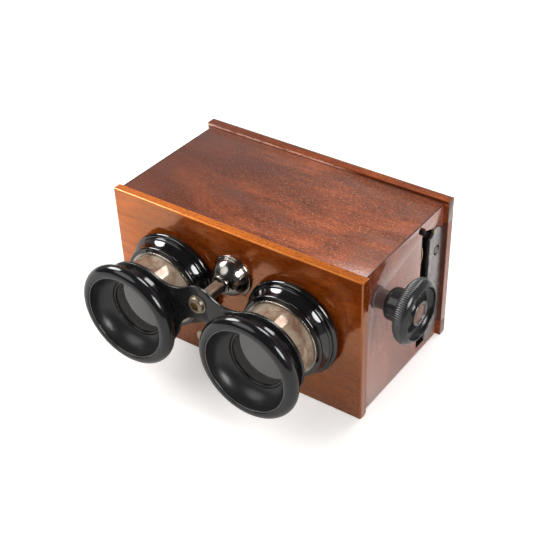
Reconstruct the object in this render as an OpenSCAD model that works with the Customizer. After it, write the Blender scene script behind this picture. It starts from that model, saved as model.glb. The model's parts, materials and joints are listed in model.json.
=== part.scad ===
// Hand stereoscope for glass slides: a mahogany box with two draw-tube eyepieces on a bridge,
// focused together by a rack and pinion with a knob on the right side.
// Millimetres, +Z up, +X towards the knob, +Y from the eyepieces to the back.
// The origin is the middle of the front panel's bottom edge face.

/* [Box] */
// How far the front panel passes the box at each side
panel_over = 1.5; // [0.5:0.1:3]
// How far the front panel passes the box at the top and the bottom
panel_rise = 0.65; // [0.2:0.05:1.5]
// Thickness of the front panel
panel_t = 4.5; // [3:0.1:8]
// Rounding of the front panel's edges
panel_round = 0.8; // [0.2:0.1:1.4]
// Rounding of the panel's foot at the back
foot_round = 1.6; // [0.5:0.1:2]
// Width of the box between the panel and the rear frame
body_w = 130.6; // [108:0.1:156]
// Height of the box
body_h = 73.7; // [65:0.1:88]
// Depth of the box
body_d = 66.5; // [55:0.5:90]
// Thickness of the box walls
wall_t = 3.6; // [2.8:0.1:4.4]

/* [Rear frame] */
// How far the rear frame passes the box at each side
frame_over = 2.4; // [1:0.1:4]
// How far the rear frame rises over the front panel
frame_rise = 1; // [0:0.1:3]
// Thickness of the rear frame
frame_t = 7; // [6:0.1:10]
// Height of the top rail
top_rail_h = 11.5; // [8:0.1:14]
// Height of the bottom rail
low_rail_h = 8.5; // [7:0.1:14]
// Width of the stiles
stile_w = 11; // [8:0.1:14]
// Step of the lapped corner joint
lap_step = 3.5; // [1:0.1:5]
// Rounding of the frame's outer back edge
frame_round = 3.5; // [0.5:0.1:4]
// Thickness of the ground glass
glass_t = 1.8; // [1:0.1:2.5]
// Thickness of the ledge in front of the ground glass
ledge_t = 2.2; // [1:0.1:3]
// Width of the ledge that the ground glass lies against
ledge_w = 2.5; // [1.5:0.1:4]
// Side of the beads behind the ground glass
bead_s = 2; // [1:0.1:2.4]

/* [Slide slot] */
// Height of the strip that the slide stands on
track_h = 2.2; // [1.5:0.1:5]
// Wood over the slot, under the top board
slot_top = 3.5; // [2.5:0.1:5]
// Width of the slot in the sides
slot_w = 7.9; // [5:0.1:10]
// Wood from the slot to the back of the box
slot_back = 11.8; // [9:0.1:16]
// Half width of the slanted finger notch at the slot's top
notch_r = 2.65; // [1.8:0.05:2.8]
// How far the middle of the notch's rear end lies below the slot's top
notch_fall = 3.05; // [1:0.05:5]
// How far the middle of the notch's rear end lies behind the slot
notch_back = 0.95; // [0:0.05:2]
// Half width of the narrow nick in front of the notch
nick_r = 1.6; // [1:0.05:2]
// How far the middle of the nick's front end lies before the slot
nick_out = 1.85; // [0:0.05:4]
// Wood left between the nick and the box's top
nick_wood = 0.75; // [0.4:0.05:2]
// Thickness of the guide plate
plate_t = 1.4; // [0.8:0.1:2]
// How far the plate goes below the slot
plate_low = 1.3; // [0.5:0.1:3]
// How far the plate's top stays below the slot's top
plate_drop = 1.9; // [1:0.1:6]
// Gap between the plate's top and the end of its recess
plate_gap = 0.6; // [0.1:0.05:1]
// Radius of the plate's outer corners
plate_r = 7.5; // [2:0.1:8]
// Distance of the plate screws from its ends
plate_screw_in = 13; // [8:0.1:20]
// Distance of the plate screws from the rear frame
plate_screw_y = 5.1; // [4:0.1:6]
// Head radius of the plate screws
plate_screw_r = 2.6; // [1.8:0.05:3]

/* [Inside] */
// Thickness of the mask board
mask_t = 2; // [1.4:0.1:3]
// Gap from the mask board to the slot
mask_gap = 2; // [1:0.1:4]
// Distance of the picture windows from the middle
window_in = 8.65; // [5:0.05:12]
// Distance of the picture windows from the sides' inner faces
window_out = 5.05; // [3:0.05:9]
// Distance of the picture windows from the slide's lower edge
window_low = 6.8; // [4:0.1:10]
// Distance of the picture windows from the slide's upper edge
window_top = 4; // [3:0.1:9]
// How far the slide's tracks end before the sides
track_short = 8; // [2:0.5:12]
// Width of the guide frame's upright bars
guide_side = 5; // [3:0.1:8]
// How far the guide frame laps over the slide's upper and lower edges
guide_lap = 2.9; // [1:0.1:6]
// Thickness of the partition
septum_t = 2.4; // [1.6:0.1:4]
// How far the partition stays under the rod's axis
septum_cut = 7.5; // [6:0.1:10]
// Width of the leaf springs
spring_w = 2.6; // [1.6:0.1:2.8]
// Length of the leaf springs
spring_len = 11; // [8:0.5:12]
// Bow of the leaf springs
spring_bow = 2.5; // [1.5:0.1:3]
// Thickness of the leaf springs
spring_t = 0.4; // [0.3:0.05:0.5]
// Distance of the leaf springs from the slot's ends
spring_in = 10.1; // [9.5:0.1:20]

/* [Eyepieces] */
// Distance between the two lens axes
lens_gap = 65.3; // [60:0.1:68]
// How far the lens axes lie above the panel's middle
lens_rise = 1.7; // [0:0.1:2.5]
// Outer radius of the draw tubes
tube_r = 17.4; // [15:0.05:17.6]
// Wall of the draw tubes
tube_t = 1; // [0.7:0.1:1.5]
// Length of the draw tubes
tube_len = 28.6; // [25:0.1:32]
// Running clearance of the draw tubes
tube_clear = 0.07; // [0.04:0.01:0.1]
// Wall of the nickel sleeve in the flange
sleeve_t = 0.9; // [0.6:0.1:1.4]
// Width of the sleeve's lip at the mouth
mouth_lip = 1.1; // [1:0.05:2]
// How far the sleeve goes behind the panel
sleeve_back = 1.5; // [0.5:0.1:3]
// Height of the flange over the panel
flange_h = 11; // [9:0.1:12]
// Width of the flange from the sleeve to its widest ring
flange_w = 5.3; // [4:0.1:6.5]
// Height of the flange's narrowest place, under its shoulder
flare_h = 8.3; // [7.4:0.1:8.6]
// Distance of the bridge from the panel at rest
bridge_out = 25.3; // [25:0.1:28]
// Thickness of the bridge
bridge_t = 1.6; // [1.2:0.1:2.4]
// Width of the bridge's rings round the tubes
ring_w = 3.8; // [2.6:0.1:5.5]
// Radius of the bridge's middle lobe
lobe_r = 8.7; // [8:0.1:10]
// Radius of the hollows between lobe and rings
hollow_r = 17; // [10:0.5:24]
// Radius of the eyecup's rim bead
rim_r = 3.45; // [2.5:0.05:4]
// How far the middle of the rim bead lies outside the tube
rim_out = 4.2; // [3:0.1:5.5]
// Height of the rim bead over the bridge
rim_h = 9; // [8:0.1:10.5]
// Width of the seat that the lens lies against
seat_w = 0.8; // [0.5:0.1:2]
// Height of the throat's edge over the bridge
throat_h = 3; // [2.4:0.1:3.6]
// Height of the lens seat over the bridge
seat_h = 2; // [1.2:0.1:2.2]
// Radius of the eyecup's hollow bowl section
bowl_r = 9; // [8:0.1:12]
// How far the eyecup's neck passes the tube
neck_over = 1.8; // [1.2:0.1:2.6]
// Wall of the eyecup's spigot in the tube
spigot_t = 1.5; // [1:0.1:2]
// Edge thickness of the lenses
lens_edge = 1.6; // [1.2:0.1:2.5]
// Radius of curvature of the lens faces
lens_curve = 62; // [50:1:120]
// Wall of the lens retaining rings
keep_t = 1; // [0.7:0.1:1.5]

/* [Focusing] */
// Height of the rod's axis over the lens axes
rod_rise = 13.8; // [12.8:0.1:14.8]
// Side of the square rod
rod_s = 5; // [4:0.1:5.4]
// Chamfer of the rod's edges
rod_cut = 0.7; // [0.3:0.05:0.9]
// Module of the rack and the pinion
gear_m = 0.8; // [0.7:0.05:0.85]
// Number of teeth of the pinion
gear_n = 10; // [9:1:11]
// Width of the pinion
pinion_w = 5; // [3:0.1:5.4]
// Distance of the pinion from the panel's front face
pinion_in = 14; // [12.5:0.1:16]
// Travel of the eyepieces towards the panel
travel_in = 11.5; // [8:0.5:11.5]
// Travel of the eyepieces away from the panel
travel_out = 4; // [1:0.5:4]
// Radius of the pinion shaft
shaft_r = 1.6; // [1.3:0.05:1.8]
// Running clearance of the shaft
shaft_clear = 0.06; // [0.03:0.01:0.1]
// Foot radius of the bell-shaped collar
bell_r = 10.05; // [8:0.05:10.5]
// Height of the bell-shaped collar
bell_h = 10; // [8:0.1:10.5]
// Radius of the collar's neck ring
bell_neck_r = 4.65; // [4.4:0.05:5.5]
// Wall of the bracket
bracket_t = 2; // [1.5:0.1:2.4]
// Radius of the neck between the side and the knob
bush_r = 4.3; // [3.4:0.1:5]
// Length of the neck outside the side
bush_len = 5.6; // [4:0.1:9]
// Radius of the middle of the knob's rim bead
knob_mid = 10.95; // [9:0.05:12]
// Radius of the knob's rim bead
knob_bead = 3.7; // [2.5:0.05:4]
// Radius of the knob's hub
hub_r = 7.4; // [6:0.1:7.8]
// Length of the knob's hub up to the middle of its rim
hub_len = 11.9; // [8:0.1:13]
// Radius of the bright ring in the knob
boss_r = 5.5; // [4.8:0.1:6]
// Radius of the copper-coloured screw in the knob
knob_screw_r = 4.2; // [3:0.1:4.4]

/* [Small parts] */
// Head radius of the leaf springs' rivets
rivet_r = 0.9; // [0.7:0.05:1.2]
// Head radius of the bracket's screws
bracket_screw_r = 1.7; // [1.3:0.05:2]
// Head radius of the bridge screw
cap_r = 3.9; // [3:0.1:4.5]
// Head height of the bridge screw
cap_h = 2.2; // [1.5:0.1:3]
// Shank radius of the bridge screw
cap_shank_r = 1.4; // [1:0.1:1.6]
// Length of the bridge screw's shank
cap_shank = 9; // [6:0.5:12]
// Radius of the cream stud
stud_r = 3.4; // [2.5:0.1:4]
// Height of the cream stud over the panel
stud_h = 0.7; // [0.4:0.1:1.5]
// Distance of the cream stud's middle left of the panel's middle
stud_x = 20.9; // [16:0.1:24]
// Height of the cream stud's middle over the ground
stud_z = 8.4; // [6:0.1:12]

/* [Hidden] */
$fn = 96;
e = 0.01;
// depths along Y
y_front = -panel_t/2;
y_body = panel_t/2;
y_end = y_body + body_d;
y_back = y_end + frame_t;
slot_y1 = y_end - slot_back;
slot_y0 = slot_y1 - slot_w;
mask_y1 = slot_y0 - mask_gap;
mask_y0 = mask_y1 - mask_t;
glass_y0 = y_end + ledge_t;
// outer sizes of the panel and the rear frame
panel_w = body_w + 2*panel_over;
panel_h = body_h + 2*panel_rise;
frame_w = body_w + 2*frame_over;
frame_h = panel_h + frame_rise;
// heights
body_z0 = panel_rise;
body_z1 = body_z0 + body_h;
in_z0 = body_z0 + wall_t;
in_z1 = body_z1 - wall_t;
in_x = body_w/2 - wall_t;
slot_z0 = in_z0;
slot_z1 = in_z1 - slot_top;
slide_z1 = slot_z1;
slide_z0 = slot_z0 + track_h;
plate_z0 = slot_z0 - plate_low;
plate_z1 = slot_z1 - plate_drop;
plate_mid_y = y_end - plate_screw_y;
plate_screw_len = wall_t - 0.4;
open_x = frame_w/2 - stile_w;
open_z0 = low_rail_h;
open_z1 = frame_h - top_rail_h;
lens_z = panel_h/2 + lens_rise;
rod_z = lens_z + rod_rise;
septum_cut_z = rod_z - septum_cut;
rivet_shank = rivet_r*0.55;
rivet_len = rivet_r*2.2;
// eyepieces: heights h are counted from the bridge's front face towards the eye
y_bridge = y_front - bridge_out;
tube_in_r = tube_r - tube_t;
sleeve_r = tube_r + tube_clear + sleeve_t;
flange_r = sleeve_r + flange_w;
lens_r = tube_in_r - spigot_t;
throat_r = lens_r - seat_w;
neck_r = tube_r + neck_over;
ring_r = tube_r + ring_w;
rim_mid = tube_r + rim_out;
spigot_z = seat_h - lens_edge - bridge_t*2.25;
// rack and pinion
pitch_r = gear_m*gear_n/2;
pitch = PI*gear_m;
rod_top = rod_z + rod_s/2;
rack_line = rod_top - gear_m*0.9;
mesh_gap = 0.1;
pinion_y = y_front + pinion_in;
pinion_z = rack_line + pitch_r + mesh_gap;
tooth_play = 0.12;
rack_reach = 5;
rack_y0 = pinion_y - travel_in - rack_reach;
rack_y1 = pinion_y + travel_out + rack_reach;
rod_y0 = y_bridge + bridge_t;
rod_y1 = rack_y1 + 1.5;
cheek_x = rod_s/2 + 0.5;
bracket_z0 = rod_z - rod_s/2 - 0.15 - bracket_t;
bracket_y1 = pinion_y + 4.6;
bracket_foot = cheek_x + bracket_t + bracket_screw_r*2.35;
bracket_shank = bracket_screw_r*0.6;
bracket_deep = panel_t*0.45;
// knob: heights k are counted from the right side outwards
side_x = body_w/2;
knob_k0 = bush_len + 0.3;
rim_k = knob_k0 + hub_len;
face_k = rim_k + knob_bead - 0.5;
boss_k = face_k - 1.2;
spring_x = side_x - wall_t/2;
spring_tab = 3;

// Helpers

// shape drawn in X and Z, extruded from y0 to y1
module slab_y(y0, y1) {
  translate([0, y1, 0]) rotate([90, 0, 0]) linear_extrude(y1 - y0) children();
}

// shape drawn in Y and Z, extruded from x0 to x1
module slab_x(x0, x1) {
  translate([x0, 0, 0]) rotate([90, 0, 90]) linear_extrude(x1 - x0) children();
}

// section drawn in radius and height, turned about an axis that points to the eye
module turn_front(x, z, y) {
  translate([x, y, z]) rotate([90, 0, 0]) rotate_extrude() children();
}

// section drawn in radius and height, turned about the pinion's axis
module turn_side(x) {
  translate([x, pinion_y, pinion_z]) rotate([0, 90, 0]) rotate_extrude() children();
}

// rectangle between two corners
module box2(x0, y0, x1, y1) {
  translate([x0, y0]) square([x1 - x0, y1 - y0]);
}

// cylinder along Y from y0 to y1
module rod_y(x, z, r, y0, y1) {
  translate([x, y1, z]) rotate([90, 0, 0]) cylinder(h = y1 - y0, r = r);
}

// cylinder along X from x0 to x1
module rod_x(y, z, r, x0, x1) {
  translate([x0, y, z]) rotate([0, 90, 0]) cylinder(h = x1 - x0, r = r);
}

// Box

module front_panel() {
  color("sienna") difference() {
    slab_y(y_front, y_body) box2(-panel_w/2, 0, panel_w/2, panel_h);
    // rounded edges of the front face, left out at the foot
    for (s = [-1, 1])
      translate([s*(panel_w/2 - panel_round), y_front + panel_round, -1]) difference() {
        translate([min(0, s*2), -2, 0]) cube([2, 2, panel_h + 2]);
        translate([0, 0, -1]) cylinder(h = panel_h + 4, r = panel_round);
      }
    translate([-panel_w, y_front + panel_round, panel_h - panel_round]) difference() {
      translate([0, -2, 0]) cube([2*panel_w, 2, 2]);
      rotate([0, 90, 0]) translate([0, 0, -1]) cylinder(h = 2*panel_w + 2, r = panel_round);
    }
    translate([-panel_w, y_body - foot_round, foot_round]) difference() {
      translate([0, 0, -2*foot_round]) cube([2*panel_w, 2*foot_round, 2*foot_round]);
      rotate([0, 90, 0]) translate([0, 0, -1]) cylinder(h = 2*panel_w + 2, r = foot_round);
    }
    for (s = [-1, 1]) rod_y(s*lens_gap/2, lens_z, sleeve_r, y_front - 1, y_body + 1);
    rod_y(0, rod_z, bell_neck_r - 0.7, y_front - 1, y_body + 1);
    bracket_screw_places() rod_y(0, 0, bracket_shank, y_body - bracket_deep, y_body + 1);
  }
}

// strip with round ends between two points, in Y and Z
module pill(a, b, r) {
  d = b - a;
  n = r/sqrt(d[0]*d[0] + d[1]*d[1]);
  q = [-d[1]*n, d[0]*n];
  translate(a) circle(r);
  translate(b) circle(r);
  polygon([a - q, b - q, b + q, a + q]);
}

// finger notch through one side wall: a wide slanted part and a narrow nick in front of it
module notch(s) {
  x0 = s > 0 ? in_x : -body_w/2 - 1;
  slab_x(x0, x0 + wall_t + 1) {
    pill([slot_y0 + notch_r + 0.05, slot_z1 - 0.65],
      [slot_y1 + notch_back, slot_z1 - notch_fall], notch_r);
    pill([slot_y0 - nick_out, body_z1 - nick_wood - nick_r],
      [slot_y0 + nick_r - 0.25, slot_z1 + nick_r + 0.65], nick_r);
  }
}

module mitred_board(z_out, z_in) {
  slab_y(y_body, y_end)
    polygon([[-body_w/2, z_out], [body_w/2, z_out], [in_x, z_in], [-in_x, z_in]]);
}

module top_board() {
  color("sienna") mitred_board(body_z1, in_z1);
}

module bottom_board() {
  color("sienna") mitred_board(body_z0, in_z0);
}

// outline of the guide plate in Y and Z, from the slot to the rear frame
module plate_shape(z1) {
  r = plate_r;
  box2(slot_y1, plate_z0, y_end - r, z1);
  box2(slot_y1, plate_z0 + r, y_end, z1 - r);
  intersection() {
    box2(slot_y1, plate_z0, y_end, z1);
    for (z = [plate_z0 + r, z1 - r]) translate([y_end - r, z]) circle(r);
  }
}

module plate_screw_places() {
  for (z = [plate_z0 + plate_screw_in, plate_z1 - plate_screw_in])
    translate([0, plate_mid_y, z]) children();
}

module side_board(s) {
  difference() {
    slab_y(y_body, y_end)
      polygon([[s*body_w/2, body_z0], [s*body_w/2, body_z1], [s*in_x, in_z1], [s*in_x, in_z0]]);
    slab_x(-body_w, body_w) box2(slot_y0, slot_z0, slot_y1, slot_z1);
    notch(s);
    if (s > 0) slab_x(body_w/2 - plate_t, body_w) plate_shape(plate_z1 + plate_gap);
    else slab_x(-body_w, -body_w/2 + plate_t) plate_shape(plate_z1 + plate_gap);
    plate_screw_places() rotate([0, 90*s, 0])
      translate([0, 0, body_w/2 - plate_screw_len]) cylinder(h = body_w, r = 1.1);
    spring_places() rod_y(0, -spring_tab/2, rivet_shank, -rivet_len, 1);
    if (s > 0) rod_x(pinion_y, pinion_z, bush_r - 1.2, in_x - 1, body_w);
  }
}

module left_side() {
  color("peru") side_board(-1);
}

module right_side() {
  color("peru") side_board(1);
}

// Rear frame

// section of a rail in Y and height over its outer edge, front half to h1 and back half to h2
module rail_section(h1, h2) {
  ym = y_end + frame_t/2;
  r = frame_round;
  box2(y_end, 0, ym, h1);
  difference() {
    box2(ym - e, 0, y_back, h2);
    translate([y_back - r, 0]) square([r + 1, r]);
  }
  intersection() {
    translate([y_back - r, r]) circle(r);
    box2(ym - e, 0, y_back, r + e);
  }
}

// rebate for the ground glass, with its ledge in front
module glass_rebate() {
  slab_y(glass_y0, y_back + 1)
    box2(-open_x - ledge_w, open_z0 - ledge_w, open_x + ledge_w, open_z1 + ledge_w);
}

module stile_space() {
  slab_y(y_end - 1, y_back + 1) box2(-open_x, -1, open_x, frame_h + 1);
}

// rail as long as the frame: full height between the stiles, lapped at its ends
module rail(h) {
  ym = y_end + frame_t/2;
  difference() {
    union() {
      slab_x(-open_x, open_x) rail_section(h, h);
      slab_x(-frame_w/2, -open_x) rail_section(h, h - lap_step);
      slab_x(open_x, frame_w/2) rail_section(h, h - lap_step);
    }
    // the rails' ends are rounded like the stiles
    for (s = [-1, 1]) stile_round(s);
  }
}

module stile_round(s) {
  r = frame_round;
  translate([s*(frame_w/2 - r), y_back - r, -1]) difference() {
    translate([min(0, s*(r + 1)), 0, 0]) cube([r + 1, r + 1, frame_h + 2]);
    translate([0, 0, -1]) cylinder(h = frame_h + 4, r = r);
  }
}

module rear_bottom_rail() {
  color("chocolate") difference() {
    rail(low_rail_h);
    glass_rebate();
  }
}

module rear_top_rail() {
  color("chocolate") difference() {
    translate([0, 0, frame_h]) mirror([0, 0, 1]) rail(top_rail_h);
    glass_rebate();
  }
}

module stile(s) {
  ym = y_end + frame_t/2;
  x0 = s > 0 ? open_x : -frame_w/2;
  difference() {
    union() {
      slab_y(y_end, ym) box2(x0, low_rail_h, x0 + stile_w, frame_h - top_rail_h);
      slab_y(ym, y_back) box2(x0, low_rail_h - lap_step, x0 + stile_w,
        frame_h - top_rail_h + lap_step);
    }
    stile_round(s);
    glass_rebate();
  }
}

module rear_left_stile() {
  color("peru") stile(-1);
}

module rear_right_stile() {
  color("peru") stile(1);
}

module rear_glass() {
  color("white", 0.6) slab_y(glass_y0, glass_y0 + glass_t)
    box2(-open_x - ledge_w, open_z0 - ledge_w, open_x + ledge_w, open_z1 + ledge_w);
}

// four strips behind the ground glass, butted at the corners
module glass_beads() {
  y0 = glass_y0 + glass_t;
  xo = open_x + ledge_w;
  zo0 = open_z0 - ledge_w;
  zo1 = open_z1 + ledge_w;
  color("saddlebrown") {
    slab_y(y0, y0 + bead_s) box2(-xo, zo0, xo, zo0 + bead_s);
    slab_y(y0, y0 + bead_s) box2(-xo, zo1 - bead_s, xo, zo1);
    slab_y(y0, y0 + bead_s) box2(-xo, zo0 + bead_s, -xo + bead_s, zo1 - bead_s);
    slab_y(y0, y0 + bead_s) box2(xo - bead_s, zo0 + bead_s, xo, zo1 - bead_s);
  }
}

// Inside of the box

// liner behind the slide, made of four bars
module guide_frame() {
  gx = in_x - guide_side;
  gz0 = slide_z0 + guide_lap;
  gz1 = slide_z1 - guide_lap;
  color("dimgray") {
    slab_y(slot_y1, y_end) box2(-in_x, in_z0, in_x, gz0);
    slab_y(slot_y1, y_end) box2(-in_x, gz1, in_x, in_z1);
    slab_y(slot_y1, y_end) box2(-in_x, gz0, -gx, gz1);
    slab_y(slot_y1, y_end) box2(gx, gz0, in_x, gz1);
  }
}

// strips that the slide's edges run between
module slide_tracks() {
  color("dimgray") {
    slab_y(mask_y1, slot_y1) box2(-in_x + track_short, in_z0, in_x - track_short, slide_z0);
    slab_y(mask_y1, slot_y1) box2(-in_x + track_short, slide_z1, in_x - track_short, in_z1);
  }
}

module slide_mask() {
  color("darkslategray") difference() {
    slab_y(mask_y0, mask_y1) box2(-in_x, in_z0, in_x, in_z1);
    for (s = [-1, 1]) slab_y(mask_y0 - 1, mask_y1 + 1)
      box2(min(s*window_in, s*(in_x - window_out)), slide_z0 + window_low,
        max(s*window_in, s*(in_x - window_out)), slide_z1 - window_top);
  }
}

module septum() {
  color("darkslategray") difference() {
    slab_y(y_body, mask_y0) box2(-septum_t/2, in_z0, septum_t/2, in_z1);
    slab_y(y_body - 1, rod_y1 + travel_in + 1.5) box2(-septum_t, septum_cut_z, septum_t, panel_h);
  }
}

// lower ends of the leaf springs, on the slot's front edge
module spring_places() {
  for (s = [-1, 1], z = [slot_z0 + spring_in - spring_len/2, slot_z1 - spring_in - spring_len/2])
    translate([s*spring_x, slot_y0, z]) children();
}

// bowed strips in the slots, each fixed at its lower end, that press the slide back
module leaf_springs() {
  r = (pow(spring_len/2, 2) + pow(spring_bow, 2))/(2*spring_bow);
  color("silver") spring_places() difference() {
    slab_x(-spring_w/2, spring_w/2) {
      box2(0, -spring_tab, spring_t, 0.3);
      intersection() {
        translate([spring_bow - r, spring_len/2]) difference() {
          circle(r);
          circle(r - spring_t);
        }
        box2(0, -1, spring_bow + 1, spring_len + 1);
      }
    }
    rod_y(0, -spring_tab/2, rivet_shank, -1, 2);
  }
}

module spring_rivets() {
  color("goldenrod") spring_places() {
    rod_y(0, -spring_tab/2, rivet_shank, -rivet_len, spring_t + 0.1);
    rod_y(0, -spring_tab/2, rivet_r, spring_t, spring_t*2);
  }
}

// Slot plates

module slot_plates() {
  color("lightgray") for (s = [-1, 1]) difference() {
    if (s > 0) slab_x(body_w/2 - plate_t, body_w/2) plate_shape(plate_z1);
    else slab_x(-body_w/2, -body_w/2 + plate_t) plate_shape(plate_z1);
    notch(s);
    plate_screw_places() rotate([0, 90*s, 0]) translate([0, 0, body_w/2 - plate_t]) {
      translate([0, 0, -1]) cylinder(h = plate_t + 2, r = 1.1);
      translate([0, 0, 0.1]) cylinder(h = plate_t - 0.1, r1 = 1.1, r2 = plate_screw_r);
    }
  }
}

// countersunk screws with a straight slot
module plate_screws() {
  color("gray") for (s = [-1, 1]) plate_screw_places() rotate([0, 90*s, 0]) difference() {
    union() {
      translate([0, 0, body_w/2 - plate_screw_len]) cylinder(h = plate_screw_len, r = 1.1);
      translate([0, 0, body_w/2 - plate_t + 0.1])
        cylinder(h = plate_t - 0.1, r1 = 1.1, r2 = plate_screw_r);
    }
    rotate([0, 0, -40]) translate([-plate_screw_r, -0.3, body_w/2 - 0.6])
      cube([2*plate_screw_r, 0.6, 2]);
  }
}

// Flanges and tubes

// turned section: foot, large ring, small ring, fine bead, flare, shoulder and lip
module flange_section() {
  s = sleeve_r;
  b = flange_r;
  h = flange_h;
  box2(s, 0, b - 1.7, 4.2);
  translate([b - 1.4, 2.6]) circle(1.4);
  box2(s, 0, b - 2.4, flare_h - 1.8);
  translate([b - 2.2, 4.7]) circle(0.75);
  translate([b - 2.17, 5.85]) circle(0.3);
  difference() {
    box2(s, flare_h - 2, b - 1.95, flare_h);
    translate([b - 0.22, flare_h]) circle(2.6);
  }
  intersection() {
    translate([s + 0.98, flare_h + 0.05]) circle(1.56);
    box2(s, flare_h - 1.9, b, h);
  }
  box2(s, flare_h, s + 1.43, h - 0.6);
  translate([s + 1.13, h - 0.5]) circle(0.5);
  box2(s, h - 0.8, s + 1.13, h - 0.02);
}

module flange(s) {
  turn_front(s*lens_gap/2, lens_z, y_front) flange_section();
}

module left_flange() {
  color([0.06, 0.06, 0.06]) flange(-1);
}

module right_flange() {
  color([0.06, 0.06, 0.06]) flange(1);
}

// sleeve through flange and panel, with a thin lip over the flange's mouth
module mouth_ring(s) {
  r = tube_r + tube_clear;
  turn_front(s*lens_gap/2, lens_z, y_front) {
    box2(r, -panel_t - sleeve_back, sleeve_r, flange_h + 0.3);
    box2(r, flange_h, r + mouth_lip, flange_h + 0.3);
    box2(r, flange_h, r + mouth_lip - 0.25, flange_h + 0.6);
  }
}

module left_mouth_ring() {
  color("silver") mouth_ring(-1);
}

module right_mouth_ring() {
  color("silver") mouth_ring(1);
}

module tube(s) {
  turn_front(s*lens_gap/2, lens_z, y_bridge) box2(tube_in_r, -tube_len, tube_r, 0);
}

module left_tube() {
  color("rosybrown") tube(-1);
}

module right_tube() {
  color("rosybrown") tube(1);
}

// Bridge

// centre of the circle of radius c that touches circles a and b from outside
function touch(ax, ay, ar, bx, by, br, c) =
  let (d = sqrt(pow(bx - ax, 2) + pow(by - ay, 2)), p = ar + c, q = br + c,
    u = (p*p - q*q + d*d)/(2*d), v = sqrt(p*p - u*u), cx = (bx - ax)/d, cy = (by - ay)/d)
  [ax + cx*u - cy*v, ay + cy*u + cx*v];

// outline with two rings, a raised middle lobe and hollows that run into the rings
module bridge_shape() {
  g = lens_gap/2;
  up = touch(0, rod_z, lobe_r, g, lens_z, ring_r, hollow_r);
  // arch below the lobe, through arch_z and touching both rings
  arch_z = rod_z - lobe_r;
  k = arch_z - lens_z;
  arch_r = (g*g + k*k - ring_r*ring_r)/(2*(ring_r + k));
  difference() {
    union() {
      polygon([[-g, lens_z], [0, arch_z - arch_r], [g, lens_z], [up[0], up[1]], [0, rod_z],
        [-up[0], up[1]]]);
      translate([0, rod_z]) circle(lobe_r);
      for (s = [-1, 1]) translate([s*g, lens_z]) circle(ring_r);
    }
    for (s = [-1, 1]) translate([s*up[0], up[1]]) circle(hollow_r);
    translate([0, arch_z - arch_r]) circle(arch_r);
    for (s = [-1, 1]) translate([s*g, lens_z]) circle(tube_r);
    translate([0, rod_z]) circle(cap_shank_r);
  }
}

module bridge() {
  color([0.12, 0.12, 0.12]) slab_y(y_bridge, y_bridge + bridge_t) bridge_shape();
}

// cap screw with a round recess
module bridge_screw() {
  color("silver") turn_front(0, rod_z, y_bridge) difference() {
    union() {
      box2(0, 0, cap_r + 0.5, 0.4);
      box2(0, 0, cap_r, cap_h - 0.7);
      box2(0, 0, cap_r - 0.7, cap_h);
      translate([cap_r - 0.7, cap_h - 0.7]) circle(0.7);
      box2(0, -bridge_t - cap_shank, cap_shank_r, 0);
    }
    box2(-1, cap_h - 1, cap_r*0.5, cap_h + 1);
  }
}

// Rod, rack and pinion

// section of the square rod with chamfered edges, in X and Z
module rod_shape() {
  a = rod_s/2;
  c = rod_cut;
  translate([0, rod_z]) polygon([[-a + c, -a], [a - c, -a], [a, -a + c], [a, a - c],
    [a - c, a], [-a + c, a], [-a, a - c], [-a, -a + c]]);
}

// gap between two rack teeth, in Y and Z, with its middle at y
module rack_gap(y) {
  t = tan(20);
  w = pitch/4 + tooth_play;
  up = rod_top + 0.5 - rack_line;
  dn = gear_m*1.25;
  polygon([[y - w - up*t, rack_line + up], [y + w + up*t, rack_line + up],
    [y + w - dn*t, rack_line - dn], [y - w + dn*t, rack_line - dn]]);
}

module rack_rod() {
  n0 = ceil((rack_y0 - pinion_y)/pitch);
  n1 = floor((rack_y1 - pinion_y)/pitch);
  color("lightgray") difference() {
    slab_y(rod_y0, rod_y1) rod_shape();
    slab_x(-rod_s, rod_s) for (i = [n0 : n1]) rack_gap(pinion_y + i*pitch);
    rod_y(0, rod_z, cap_shank_r, rod_y0 - 1, rod_y0 + cap_shank);
  }
}

// involute point at roll angle t in degrees, turned by a
function inv(rb, t, a) = let (q = t*PI/180)
  [rb*(cos(t + a) + q*sin(t + a)), rb*(sin(t + a) - q*cos(t + a))];

// one side of a tooth: points from the base circle to the tip
function flank(rb, ro, half) =
  let (tp = sqrt(pow(pitch_r/rb, 2) - 1)*180/PI, ap = tp - atan(tp*PI/180),
    te = sqrt(pow(ro/rb, 2) - 1)*180/PI)
  [for (i = [0 : 5]) inv(rb, te*i/5, -half - ap)];

module pinion_shape() {
  rb = pitch_r*cos(20);
  ro = pitch_r + gear_m*0.85;
  rr = pitch_r - gear_m*1.2;
  half = 90/gear_n - tooth_play/pitch_r*180/PI;
  f = flank(rb, ro, half);
  g = [for (i = [5 : -1 : 0]) [f[i][0], -f[i][1]]];
  circle(rr, $fn = 48);
  for (i = [0 : gear_n - 1]) rotate(360/gear_n*i)
    polygon(concat([[rr*0.8, f[0][1]]], f, g, [[rr*0.8, -f[0][1]]]));
}

// the pinion has a tooth straight down at rest, in the rack's gap
module pinion() {
  color("goldenrod") difference() {
    translate([-pinion_w/2, pinion_y, pinion_z]) rotate([0, 90, 0])
      linear_extrude(pinion_w) pinion_shape();
    rod_x(pinion_y, pinion_z, shaft_r, -pinion_w, pinion_w);
  }
}

module pinion_shaft() {
  color("silver") rod_x(pinion_y, pinion_z, shaft_r, -cheek_x - bracket_t, side_x + boss_k - 1);
}

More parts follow.
